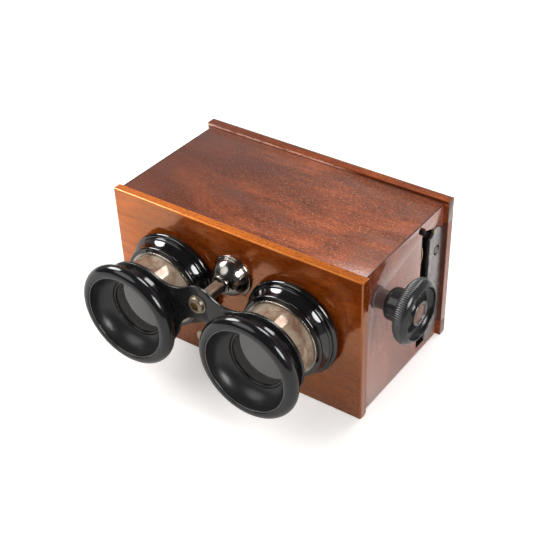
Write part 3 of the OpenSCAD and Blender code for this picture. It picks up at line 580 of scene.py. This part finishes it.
def black_gloss(name, tone, rough, worn=0.15, specks=0.0, satin=None, ior=1.5,
                satin_tone=None):
    """Turned black material: fine scuffs in the sheen and a little dust. Where satin and
    satin_tone are given, it is satin where zone is 1 and has a pale line where it is 2, partly
    wear and partly a painted highlight."""
    n = Nodes(name)
    scuff = n.noise(90, 5, 0.62)
    fine = n.noise(900, 3, 0.6)
    sheen = n.span(scuff, 0.35, 0.7, rough, rough + worn)
    colour = n.mix(n.span(scuff, 0.3, 0.75), tone, tuple(1.7 * t + 0.002 for t in tone))
    if satin:
        mark = n.zone()
        zone = n.math("MINIMUM", mark, 1.0)
        soft = n.span(scuff, 0.35, 0.7, satin, satin + 0.05)
        sheen = n.math("ADD", n.times(zone, soft), n.times(n.math("SUBTRACT", 1.0, zone), sheen))
        colour = n.mix(zone, colour, n.mix(scuff, satin_tone, tuple(1.5 * t for t in satin_tone)))
        colour = n.mix(n.span(mark, 1.2, 2.0), colour, WEAR_AND_HIGHLIGHT_LINE)
    if specks:
        dust = n.add("ShaderNodeTexVoronoi")
        dust.inputs["Scale"].default_value = 260
        n.link(n.coord.outputs["Object"], dust.inputs["Vector"])
        dots = n.ramp(dust.outputs["Distance"], [(0.035, 1.0), (0.06, 0.0)])
        rare = n.ramp(n.noise(170, 1), [(0.64, 0.0), (0.68, 1.0)])
        colour = n.mix(n.times(dots, rare, specks), colour, DUST)
    n.set(Base_Color=colour, Roughness=sheen, IOR=ior)
    n.bump(n.math("ADD", fine, scuff), 0.012, 0.0001)
    return n.mat


def metal(name, bright, tarnish, rough, spots=0.5, scale=120, cover=(0.42, 0.66), brushed=None,
          specks=0.0, mark=None):
    """Plated or bare metal: tarnish in clouds, dark specks, sheen that dulls where tarnished,
    lines along the brushed axis; mark(n, colour) may colour more of it."""
    n = Nodes(name)
    cloud = n.noise(scale, 6, 0.62, 0.6)
    grit = n.noise(1500, 2, 0.6)
    covered = n.ramp(cloud, [(cover[0], 0.0), (cover[1], 1.0)])
    colour = n.mix(n.times(covered, spots), bright, tarnish)
    if specks:
        dots = n.ramp(grit, [(0.60, 0.0), (0.70, 1.0)])
        colour = n.mix(n.times(dots, specks), colour, tuple(t * 0.35 for t in tarnish))
    if mark:
        colour = mark(n, colour)
    sheen = n.math("ADD", n.span(cloud, 0.3, 0.75, rough, rough + 0.14),
                   n.span(grit, 0.3, 0.7, 0.0, 0.06))
    height = grit
    if brushed:
        height = n.math("ADD", grit, n.times(n.noise(along(brushed, 2400, 40), 2, 0.6), 1.5))
    n.set(Base_Color=colour, Roughness=sheen, Metallic=1.0)
    n.bump(height, 0.05, 0.0001)
    return n.mat


def plate_marks(n, colour):
    """Grime specks on the guide plates and the pale brassy cut edge of the finger notch."""
    grime = n.noise(900, 3, 0.7)
    colour = n.mix(n.span(grime, 0.50, 0.66, 0.0, 0.5), colour, PLATE_GRIME)
    inside = n.span(n.outward(), SIDE_FACE - 0.06 * MM, SIDE_FACE - 0.16 * MM)
    notch = n.times(n.past("Y", NOTCH_REAR, -0.4 * MM), n.past("Z", NOTCH_LOW, 0.4 * MM))
    return n.mix(n.times(inside, notch), colour, NOTCH_BRASS)


def screw_marks(n, colour):
    """Dark outline of the plate screws, and their slot darkened with painted shade."""
    dy = n.math("SUBTRACT", n.axis("Y"), SCREW_Y)
    dz = n.math("SUBTRACT", n.math("ABSOLUTE", n.math("SUBTRACT", n.axis("Z"), SCREW_MID)),
                SCREW_HALF)
    far = n.math("SQRT", n.math("ADD", n.times(dy, dy), n.times(dz, dz)))
    colour = n.mix(n.span(far, SCREW_R - 1.1 * MM, SCREW_R - 0.8 * MM), colour, SCREW_DARK)
    slot_shade = n.span(n.outward(), SCREW_FACE - 0.05 * MM, SCREW_FACE - 0.15 * MM)
    return n.mix(slot_shade, colour, SCREW_DARK)


def brown_recess(n, colour):
    """Brown where zone is 1."""
    return n.mix(n.zone(), colour, RECESS_BROWN)


def drawn_tube():
    """Nickel worn through to brown: cream plate and brown patina in patches, fine dark specks,
    black inside where zone is 1."""
    n = Nodes("worn nickel")
    patch = n.noise(95, 6, 0.62, 0.5)
    grit = n.noise(1400, 2, 0.6)
    cover = n.ramp(patch, [(0.42, 0.0), (0.60, 1.0)])
    colour = n.mix(cover, TUBE_CREAM, TUBE_BROWN)
    dots = n.ramp(grit, [(0.57, 0.0), (0.68, 1.0)])
    colour = n.mix(n.times(dots, n.span(cover, 0, 1, 0.15, 0.6)), colour, TUBE_SPECK)
    zone = n.zone()
    colour = n.mix(zone, colour, TUBE_INSIDE)
    sheen = n.math("ADD", n.span(cover, 0, 1, 0.06, 0.14), n.times(zone, 0.45))
    n.set(Base_Color=colour, Roughness=sheen, Metallic=0.16, Specular_IOR_Level=0.25)
    n.bump(n.math("ADD", grit, patch), 0.05, 0.0001)
    return n.mat


def lens_glass():
    """Polished lens in front of a dark box: mostly its mirror shows, over a dark base colour that
    is painted shade for the box seen through it, with faint dust that only dulls it a little."""
    n = Nodes("lens glass")
    dust = n.noise(60, 3, 0.6)
    n.set(Base_Color=n.mix(dust, *LENS_SHADE),
          Roughness=n.span(dust, 0.3, 0.75, 0.01, 0.04), Transmission_Weight=0.25, IOR=1.8)
    n.bump(dust, 0.01, 0.0001)
    return n.mat


def ground_glass():
    """Finely ground sheet glass, white and matt, with faint smears; its inner face, which lies in
    the dark box, is painted dark as shade."""
    n = Nodes("ground glass")
    smear = n.noise(20, 5, 0.6)
    colour = n.mix(smear, *GLASS_WHITE)
    inner = n.past("Y", GLASS_FRONT + 0.8 * MM, -0.5 * MM)
    n.set(Base_Color=n.mix(inner, colour, GLASS_INNER_SHADE),
          Roughness=n.span(smear, 0.3, 0.7, 0.42, 0.5), Transmission_Weight=0.08, IOR=1.5)
    n.bump(smear, 0.02, 0.0001)
    return n.mat


def matt(name, tone, tone2, rough):
    """Plain matt finish with mottled tone and a fine tooth."""
    n = Nodes(name)
    mottle = n.noise(150, 5, 0.6)
    n.set(Base_Color=n.mix(n.span(mottle, 0.3, 0.7), tone, tone2),
          Roughness=n.span(mottle, 0.3, 0.7, rough, rough + 0.12))
    n.bump(mottle, 0.08, 0.0002)
    return n.mat


# The object's materials: tones are dark, middle and light

# The panel darkens towards the right with painted shade, standing for the dark eyecups and floor
# shadow it mirrors.
front_wood = mahogany("panel mahogany", "X",
                      ((0.095, 0.015, 0.002), (0.285, 0.048, 0.003), (0.42, 0.086, 0.008)),
                      contrast=0.6, flecks=0.18, fleck=(0.50, 0.20, 0.05), gloss=0.12,
                      polish=0.09, ior=1.24, body_ior=1.8, sheen=(1.0, 0.42, 0.15),
                      marks=(bare_and_lit_edge, darker(-0.01, 0.065, 0.45), painted_reflection_end))
top_wood = mahogany("top mahogany", "X",
                    ((0.078, 0.019, 0.010), (0.315, 0.072, 0.026), (0.47, 0.115, 0.040)),
                    cloud=0.8, contrast=0.5, flecks=0.5, fleck=(0.62, 0.28, 0.15),
                    pore=(2100, 1000), move=(0.31, 0.2, 0.1), gloss=0.4, polish=0.14, ior=1.3,
                    level=0.25, marks=(bloom, darker(0.020, -0.065, 0.85), joint_and_shade_lines))
side_wood = mahogany("side mahogany", "Z",
                     ((0.100, 0.022, 0.010), (0.300, 0.080, 0.042), (0.42, 0.125, 0.066)),
                     cloud=0.55, flecks=0.22, fleck=(0.50, 0.22, 0.14), move=(0.11, 0.4, 0.3),
                     gloss=0.16, polish=0.09, ior=1.45, sheen=(1.0, 0.55, 0.48),
                     marks=(joint_and_shade_lines, cut_faces))
rail_wood = mahogany("frame mahogany", "X",
                     ((0.075, 0.012, 0.002), (0.270, 0.045, 0.005), (0.40, 0.085, 0.012)),
                     move=(0.5, 0.1, 0.7), ior=1.24, level=0.3, marks=(rail_foot, end_grain))
stile_wood = mahogany("stile mahogany", "Z",
                      ((0.10, 0.022, 0.008), (0.29, 0.072, 0.028), (0.40, 0.115, 0.048)),
                      cloud=0.5, move=(0.2, 0.6, 0.1), level=0.6, marks=(shaded_stile_front,))
ebonite = black_gloss("ebonite", (0.005, 0.005, 0.006), 0.10, 0.06, specks=0.7, satin=0.29,
                      ior=1.45, satin_tone=(0.014, 0.014, 0.015))
knob_black = black_gloss("knob ebonite", (0.014, 0.014, 0.015), 0.17, 0.10, specks=0.4,
                         satin=0.3, ior=1.42, satin_tone=(0.11, 0.11, 0.112))
lacquer = black_gloss("black lacquer", (0.003, 0.003, 0.0035), 0.075, 0.04, ior=1.6)
bridge_black = black_gloss("bridge black", (0.008, 0.008, 0.008), 0.20, 0.12, specks=0.3,
                           ior=1.45)
nickel = metal("nickel plate", (0.31, 0.295, 0.275), (0.17, 0.14, 0.115), 0.08, 0.5, 260,
               (0.45, 0.68), specks=0.35)
boss_metal = metal("boss ring metal", (0.20, 0.19, 0.18), (0.10, 0.09, 0.08), 0.28, 0.6, 260,
                   specks=0.4)
mouth_nickel = metal("mouth nickel", (0.40, 0.37, 0.33), (0.20, 0.16, 0.13), 0.18, 0.6, 400,
                     (0.42, 0.62), specks=0.3)
worn_nickel = drawn_tube()
rod_nickel = metal("rod nickel", (0.37, 0.32, 0.26), (0.20, 0.155, 0.12), 0.24, 0.7, 160,
                   (0.40, 0.62), brushed="Y", specks=0.4)
cap_nickel = metal("cap nickel", (0.33, 0.28, 0.21), (0.15, 0.11, 0.07), 0.36, 0.8, 300,
                   specks=0.4, mark=brown_recess)
steel = metal("steel", (0.40, 0.38, 0.39), (0.24, 0.215, 0.21), 0.34, 0.5, 160,
              brushed="Z", specks=0.6)
plate_steel = metal("plate steel", (0.43, 0.41, 0.42), (0.25, 0.225, 0.22), 0.36, 0.6, 260,
                    brushed="Z", specks=0.6, mark=plate_marks)
screw_steel = metal("screw steel", (0.42, 0.40, 0.38), (0.24, 0.22, 0.20), 0.36, 0.5, 300,
                    mark=screw_marks)
brass = metal("turned brass", (0.66, 0.48, 0.20), (0.34, 0.22, 0.10), 0.2, 0.6, 160, specks=0.4)
copper = metal("copper", (0.24, 0.145, 0.115), (0.12, 0.07, 0.055), 0.34, 0.6, 260, specks=0.5)
shaded_lens_glass = lens_glass()
pale_glass = ground_glass()
bone = matt("bone", (0.72, 0.60, 0.40), (0.82, 0.72, 0.53), 0.35)
neck_brown = matt("neck brown", (0.090, 0.062, 0.055), (0.14, 0.10, 0.09), 0.3)
inner_black = matt("inside black", (0.010, 0.010, 0.010), (0.022, 0.021, 0.020), 0.6)


# Turned pieces


def pair(name, node, profile, face, body, material, steps=192, closed=True, zone=None,
         sharp=40):
    """The same turned piece round the axes of both eyes, on a face at this Y."""
    for side, s in (("left", -1), ("right", 1)):
        mesh = lathe(side + name, profile, ("front", s * LENS_X, face, LENS_Z), steps, closed,
                     zone, sharp=sharp)
        as_piece(side + name, mesh, body, material, (side + node,))


def eyecups():
    """Foot on the bridge, straight neck, flare into the round rim, fine lip step, hollow bowl
    (an arc of BOWL_R), ring at the throat, lens seat and the spigot inside the tube. The bowl
    is satin; the lip and the throat's edge carry a pale line, partly wear and partly a painted
    highlight."""
    foot = np.array([[19.0, 0.0], [19.2, 0.2], [19.2, 3.6], [19.32, 4.1], [19.7, 4.75],
                     [20.9, 5.75], [22.6, 6.25]])
    neck = divided(foot, 0.3, closed=False)
    rim = arc(21.6, 9.0, 3.45, -38, 104, 44)
    lip = np.concatenate([[[20.68, 12.3], [20.56, 12.0], [20.5, 11.88]],
                          arc(20.2, 11.9, 0.3, -5, 160, 10)])
    throat, top = np.array([14.35, 3.25]), np.array([19.86, 11.6])
    chord = top - throat
    length = np.linalg.norm(chord)
    across = np.array([-chord[1], chord[0]]) / length
    cx, cy = (throat + top) / 2 + across * math.sqrt(BOWL_R ** 2 - length ** 2 / 4)
    a0 = math.degrees(math.atan2(top[1] - cy, top[0] - cx))
    a1 = math.degrees(math.atan2(throat[1] - cy, throat[0] - cx))
    bowl = arc(cx, cy, BOWL_R, a0, a1, 46)
    ring = np.array([[14.3, 3.02], [14.2, 2.92], [14.1, 3.02], [14.02, 3.14], [13.85, 3.2],
                     [13.3, 3.12], [13.1, 3.02], [12.98, 2.86], [12.95, 2.5], [13.1, 2.36]])
    back = np.array([[14.0, 2.2], [14.9, 2.0], [14.9, -3.2], [16.36, -3.2], [16.36, -0.02]])
    line = np.concatenate([neck, rim, lip, bowl, ring, divided(back, 0.6, closed=False)])
    lip_start = len(neck) + len(rim)
    bowl_start = lip_start + len(lip)
    bowl_end = bowl_start + len(bowl)
    zone = np.zeros(len(line))
    zone[lip_start + 4:lip_start + 11] = 2.0
    zone[bowl_start:bowl_end] = 1.0
    zone[bowl_end + 1:bowl_end + 4] = 1.5
    pair("_cup", "_eyecup", line, BRIDGE_FRONT, "eyepieces", ebonite, 224,
         zone=lambda t, r, h: zone[None, :], sharp=50)


def flanges():
    """Foot, large ring, small ring, gentle flare (an arc of 12 mm) and lip, turned."""
    line = np.concatenate([
        np.array([[SLEEVE_R, 0.0], [21.97, 0.0]]),
        arc(22.27, 2.6, 1.4, -102, 98, 22),
        arc(21.55, 4.68, 0.72, -52, 88, 16),
        arc(32.25, 11.23, 12.0, 208, 190, 16),
        np.array([[20.2, 9.22]]),
        arc(19.75, 10.08, 0.88, -58, 95, 16),
        np.array([[SLEEVE_R, 10.97]])])
    pair("_turned_flange", "_flange", divided(line, 0.4), PANEL_FRONT, "case",
         lacquer, 256, sharp=50)


def mouth_rings():
    """Thin sleeve through flange and panel with a narrow lip at the mouth."""
    line = softened([[MOUTH_R, -6.0], [SLEEVE_R, -6.0], [SLEEVE_R, 11.0], [18.55, 11.0],
                     [18.55, 11.3], [18.3, 11.58], [MOUTH_R, 11.58]],
                    [0.1, 0.1, 0.03, 0.05, 0.1, 0.15, 0.1], 0.5)
    pair("_mouth", "_mouth_ring", line, PANEL_FRONT, "case", mouth_nickel)


def tubes():
    """Thin drawn tube, black inside."""
    line = softened([[TUBE_IN, -TUBE_LEN], [TUBE_R, -TUBE_LEN], [TUBE_R, 0.0], [TUBE_IN, 0.0]],
                    [0.15, 0.15, 0.05, 0.05], 0.8)
    pair("_draw", "_tube", line, BRIDGE_FRONT, "eyepieces", worn_nickel,
         zone=lambda t, r, h: (r < TUBE_IN + 0.2) + 0.0 * h)


def lenses():
    """Double convex: caps of a sphere of LENS_BALL on both faces of a 1.6 mm edge."""
    sag = LENS_BALL - math.sqrt(LENS_BALL ** 2 - 14.1 ** 2)
    a = math.degrees(math.asin(13.7 / LENS_BALL))
    front = arc(0, 2.0 + sag - LENS_BALL, LENS_BALL, 90, 90 - a, 40)
    back = arc(0, 0.4 - sag + LENS_BALL, LENS_BALL, -90 + a, -90, 40)
    edge = [[13.8, 2.0], [14.84, 2.0], [LENS_R, 1.9], [LENS_R, 0.5], [14.84, 0.4], [13.8, 0.4]]
    line = np.concatenate([front, edge, back])
    line[0, 0] = line[-1, 0] = 0.0
    pair("_ground_lens", "_lens", line, BRIDGE_FRONT, "eyepieces", shaded_lens_glass,
         160, closed=False, sharp=30)


def bell():
    """Collar round the rod: foot ring, groove, narrow band, dome (an arc of BELL_BALL) and neck
    ring with a dark mouth."""
    hole = 3.1
    line = np.concatenate([
        np.array([[hole, 0.0], [9.8, 0.0]]),
        arc(9.45, 0.6, 0.58, -60, 110, 10),
        np.array([[9.15, 1.3], [9.2, 1.45], [9.15, 1.95], [9.02, 2.05]]),
        arc(0, 0.6, BELL_BALL, 9.5, 60, 34),
        np.array([[4.25, 8.6], [4.0, 8.62]]),
        arc(3.95, 9.28, 0.66, -75, 115, 12),
        np.array([[3.4, 9.96], [hole, 9.7]])])
    mesh = lathe("bell_collar", divided(line, 0.35), ("front", 0, PANEL_FRONT, ROD_Z), 192)
    as_piece("bell_collar", mesh, "case", nickel, ("rod_bell",))


def bridge_screw():
    """Domed cap with a stepped edge and a round brown recess, on its shank."""
    recess = 2.05
    line = np.array([[0, 1.2], [1.8, 1.2], [1.95, 1.3], [2.0, 2.0], [2.15, 2.18], [2.9, 2.1],
                     [3.5, 1.75], [3.85, 1.3], [3.9, 0.6], [3.95, 0.45], [4.25, 0.4],
                     [4.4, 0.28], [4.4, 0.0], [1.4, -0.01], [1.4, -10.6], [0, -10.6]])
    mesh = lathe("cap_screw", divided(line, 0.25, closed=False),
                 ("front", 0, BRIDGE_FRONT, ROD_Z), 96, closed=False, sharp=35,
                 zone=lambda t, r, h: (r < recess) + 0.0 * h)
    as_piece("cap_screw", mesh, "eyepieces", cap_nickel, ("bridge_screw",))


def knob():
    """Hub, milled rim, raised lip and dished face. The milling is a ripple round the rim's outer
    band: half TOOTH_DEPTH times (cos(TEETH t) - 1) times a smooth window in height; the teeth's
    crests are satin."""
    line = np.concatenate([
        np.array([[1.65, 5.9]]),
        arc(4.7, 8.6, 2.7, -90, 0, 14),
        np.array([[7.4, 12.6], [7.75, 13.6], [8.6, 14.3]]),
        arc(10.95, 17.8, 3.7, -112, 70, 50),
        np.array([[12.62, 21.0]]),
        arc(12.1, 21.05, 0.42, 0, 180, 9),
        np.array([[11.6, 20.4]]),
        arc(8.75, 21.4, 3.3, -20, -160, 22),
        np.array([[5.75, 20.0], [5.75, 19.9], [1.65, 19.9]])])

    def band(r, h):
        return np.clip(1 - np.abs(h - 17.0) / 2.3, 0, 1) ** 0.5 * (r > 12.2)

    mesh = lathe("milled_knob", divided(line, 0.55), ("side", *KNOB_AT), 6 * TEETH, sharp=60,
                 ripple=lambda t, r, h: TOOTH_DEPTH / 2 * (np.cos(TEETH * t) - 1) * band(r, h),
                 zone=lambda t, r, h: (0.5 + 0.5 * np.cos(TEETH * t)) ** 2 * band(r, h))
    as_piece("milled_knob", mesh, "knob_set", knob_black, ("knob",))


def knob_middle():
    """Stepped boss ring, its copper-coloured screw, and the neck between knob and side."""
    ring = softened([[4.2, 19.75], [5.55, 19.75], [5.55, 20.85], [4.95, 20.85], [4.8, 20.4],
                     [4.2, 20.35]], [0.1, 0.1, 0.28, 0.25, 0.1, 0.1], 0.3)
    mesh = lathe("boss_ring", ring, ("side", *KNOB_AT), 96)
    as_piece("boss_ring", mesh, "knob_set", boss_metal, ("knob_ring",))
    disc = np.array([[0, 20.5], [3.2, 20.45], [3.7, 20.3], [4.15, 20.1], [4.15, 19.75],
                     [0, 19.75]])
    mesh = lathe("copper_screw", divided(disc, 0.3, closed=False), ("side", *KNOB_AT), 96,
                 closed=False)
    as_piece("copper_screw", mesh, "knob_set", copper, ("knob_screw",))
    neck = softened([[1.7, -3.6], [3.1, -3.6], [3.1, 0.0], [5.0, 0.0], [5.0, 0.8], [4.3, 0.8],
                     [4.3, 5.6], [1.7, 5.6]], [0.1, 0.1, 0.05, 0.2, 0.3, 0.2, 0.5, 0.1], 0.4)
    mesh = lathe("shaft_neck", neck, ("side", *KNOB_AT), 96)
    as_piece("shaft_neck", mesh, "case", neck_brown, ("shaft_bush",))


# Boards, plates and small pieces


def boards():
    """Boards of the box and the rear frame, with softened edges."""
    eased("front_board", "front_panel", 0.5, front_wood, 4)
    eased("lid_board", "top_board", 0.25, top_wood)
    eased("base_board", "bottom_board", 0.25, top_wood)
    for side in ("left", "right"):
        eased(side + "_wall", side + "_side", 0.25, side_wood)
        eased(side + "_stile", "rear_" + side + "_stile", 0.3, stile_wood)
    eased("top_rail", "rear_top_rail", 0.3, rail_wood, crown=(75.5, 0.9))
    eased("bottom_rail", "rear_bottom_rail", 0.35, rail_wood)
    eased("glass_bead_strips", "glass_beads", 0.3, rail_wood)


def fittings():
    """Bridge, guide plates and rod with softened edges; the other solids stay as they are and
    only get their material."""
    eased("bridge_plate", "bridge", 0.3, bridge_black, 3, 40)
    eased("guide_plates", "slot_plates", 0.15, plate_steel, 2, 40)
    eased("square_rod", "rack_rod", 0.08, rod_nickel, 2, 30)
    for node, material in (("plate_screws", screw_steel), ("leaf_springs", brass),
                           ("bracket_screws", steel), ("pinion_shaft", steel),
                           ("spring_rivets", brass), ("rack_bracket", brass),
                           ("pinion", brass), ("bone_stud", bone), ("rear_glass", pale_glass),
                           ("guide_frame", inner_black), ("slide_tracks", inner_black),
                           ("slide_mask", inner_black), ("septum", inner_black),
                           ("left_lens_ring", inner_black), ("right_lens_ring", inner_black)):
        data = frame["nodes"][node].data
        data.materials.clear()
        data.materials.append(material)


# Studio


def floor():
    """Plain pale floor, a flat grid just under the object; the camera sees it white, with the
    object's shadow kept."""
    n = Nodes("pale floor")
    n.set(Base_Color=n.mix(n.noise(3, 2), (0.90, 0.875, 0.85), (0.92, 0.895, 0.87)),
          Roughness=0.9, Specular_IOR_Level=0.1)
    away = n.add("ShaderNodeVectorMath", operation="LENGTH")
    n.link(n.coord.outputs["Object"], away.inputs[0])
    level = n.span(away.outputs["Value"], FLOOR_NEAR, FLOOR_FAR, FLOOR_GLOW, 1.0)
    light = n.add("ShaderNodeEmission")
    n.link(n.times(n.ray("Is Camera Ray", "Is Transmission Ray"), level),
           light.inputs["Strength"])
    both = n.add("ShaderNodeAddShader")
    n.link(n.bsdf.outputs[0], both.inputs[0])
    n.link(light.outputs[0], both.inputs[1])
    n.link(both.outputs[0], n.out.inputs["Surface"])
    u = np.linspace(-FLOOR_HALF, FLOOR_HALF, 9)
    x, y = np.meshgrid(u, u, indexing="ij")
    mesh = grid_mesh("floor", np.stack([x, y, 0 * x - FLOOR_DROP], 2), False, False)
    mesh.materials.append(n.mat)
    ob = bpy.data.objects.new("floor", mesh)
    bpy.context.scene.collection.objects.link(ob)
    if mesh.polygons[0].normal.z < 0:
        mesh.flip_normals()


def glowing(name):
    """Material that only glows, with its colour and level left to set."""
    n = Nodes(name)
    n.tree.nodes.remove(n.bsdf)
    light = n.add("ShaderNodeEmission")
    n.link(light.outputs[0], n.out.inputs["Surface"])
    return n, light


def only_mirrored(name, mesh, material):
    """Stage piece that nothing but reflections can see."""
    mesh.materials.append(material)
    ob = bpy.data.objects.new(name, mesh)
    bpy.context.scene.collection.objects.link(ob)
    ob.visible_camera = ob.visible_diffuse = ob.visible_shadow = False
    ob.visible_volume_scatter = ob.visible_transmission = False


def dome():
    """Half sphere round the set, its points DOME_R (cos e cos t, cos e sin t, sin e), which
    only reflections see: pale backdrop behind the object up to 45 degrees, dark above it and on
    the camera's side."""
    n, light = glowing("studio dome")
    unit = n.add("ShaderNodeVectorMath", operation="NORMALIZE")
    n.link(n.coord.outputs["Object"], unit.inputs[0])
    parts = n.add("ShaderNodeSeparateXYZ")
    n.link(unit.outputs[0], parts.inputs[0])
    pale = n.times(n.span(parts.outputs["Z"], *DOME_TOP, 1.0, 0.0),
                   n.span(parts.outputs["Y"], *DOME_SIDE))
    n.link(n.mix(pale, (DOME_DARK,) * 3, (DOME_PALE,) * 3), light.inputs["Color"])
    e = np.radians(np.linspace(0, 90, 25))[:, None]
    t = np.linspace(0, 2 * np.pi, 96, endpoint=False)[None, :]
    pts = DOME_R * np.stack([np.cos(e) * np.cos(t), np.cos(e) * np.sin(t), np.sin(e) + 0 * t], 2)
    only_mirrored("dome", grid_mesh("dome", pts, False, True), n.mat)


def view_way(azimuth, elevation):
    """Direction from the object; azimuth 0 is straight before the eyepieces."""
    a, e = math.radians(azimuth), math.radians(elevation)
    return Vector((math.sin(a) * math.cos(e), -math.cos(a) * math.cos(e), math.sin(e)))


def lamp(name, azimuth, elevation, distance, size, power, shine):
    """Square softbox in a direction from the object. power lights the surfaces; a glowing disc
    of level shine is what they mirror, its points centre + q (cos t across + sin t upward)."""
    way = view_way(azimuth, elevation)
    data = bpy.data.lights.new(name, "AREA")
    data.shape = "SQUARE"
    data.size = size
    data.energy = power
    ob = bpy.data.objects.new(name, data)
    ob.location = Vector(LAMP_AIM) * MM + way * distance
    ob.rotation_euler = way.to_track_quat("Z", "Y").to_euler()
    ob.visible_glossy = False
    bpy.context.scene.collection.objects.link(ob)
    across = Vector((0, 0, 1)).cross(way).normalized()
    upward = way.cross(across)
    q = np.linspace(0, DISC_SHARE, 4)[:, None, None] * size / MM
    t = np.linspace(0, 2 * np.pi, 64, endpoint=False)[None, :, None]
    centre = np.array(Vector(LAMP_AIM) + way * distance / MM)
    pts = centre + q * (np.cos(t) * np.array(across) + np.sin(t) * np.array(upward))
    n, light = glowing(name + " glow")
    light.inputs["Color"].default_value = (1, 1, 1, 1)
    light.inputs["Strength"].default_value = shine
    only_mirrored(name + " face", grid_mesh(name + " face", pts, False, True), n.mat)


def world():
    """White backdrop for the camera, mirrors and glass; a softer level lights the object."""
    w = bpy.data.worlds.new("studio")
    bpy.context.scene.world = w
    w.use_nodes = True
    n = Tree(w.node_tree)
    back = n.tree.nodes["Background"]
    back.inputs["Color"].default_value = (1, 1, 1, 1)
    seen = n.ray("Is Camera Ray", "Is Transmission Ray", "Is Glossy Ray")
    n.link(n.span(seen, 0.0, 1.0, WORLD_FILL, 1.0), back.inputs["Strength"])


def camera():
    """Camera of the photograph: to the right, above, half a degree of roll."""
    azimuth, elevation, roll = CAMERA_TURN
    roll = math.radians(roll)
    back = view_way(azimuth, elevation)
    right = Vector((0, 0, 1)).cross(back).normalized()
    up = back.cross(right)
    rolled_right = right * math.cos(roll) + up * math.sin(roll)
    rolled_up = up * math.cos(roll) - right * math.sin(roll)
    data = bpy.data.cameras.new("camera")
    data.sensor_fit = "HORIZONTAL"
    data.sensor_width = 36
    data.lens = CAMERA_LENS
    data.shift_x, data.shift_y = CAMERA_SHIFT
    data.clip_start, data.clip_end = 0.01, 100
    ob = bpy.data.objects.new("camera", data)
    m = Matrix((rolled_right, rolled_up, back)).transposed().to_4x4()
    m.translation = Vector(CAMERA_AT) * MM
    ob.matrix_world = m
    bpy.context.scene.collection.objects.link(ob)
    bpy.context.scene.camera = ob


boards()
fittings()
eyecups()
flanges()
mouth_rings()
tubes()
lenses()
bell()
bridge_screw()
knob()
knob_middle()
floor()
dome()
world()
for values in LAMPS:
    lamp(*values)
camera()
bpy.context.scene.view_settings.view_transform = "Standard"
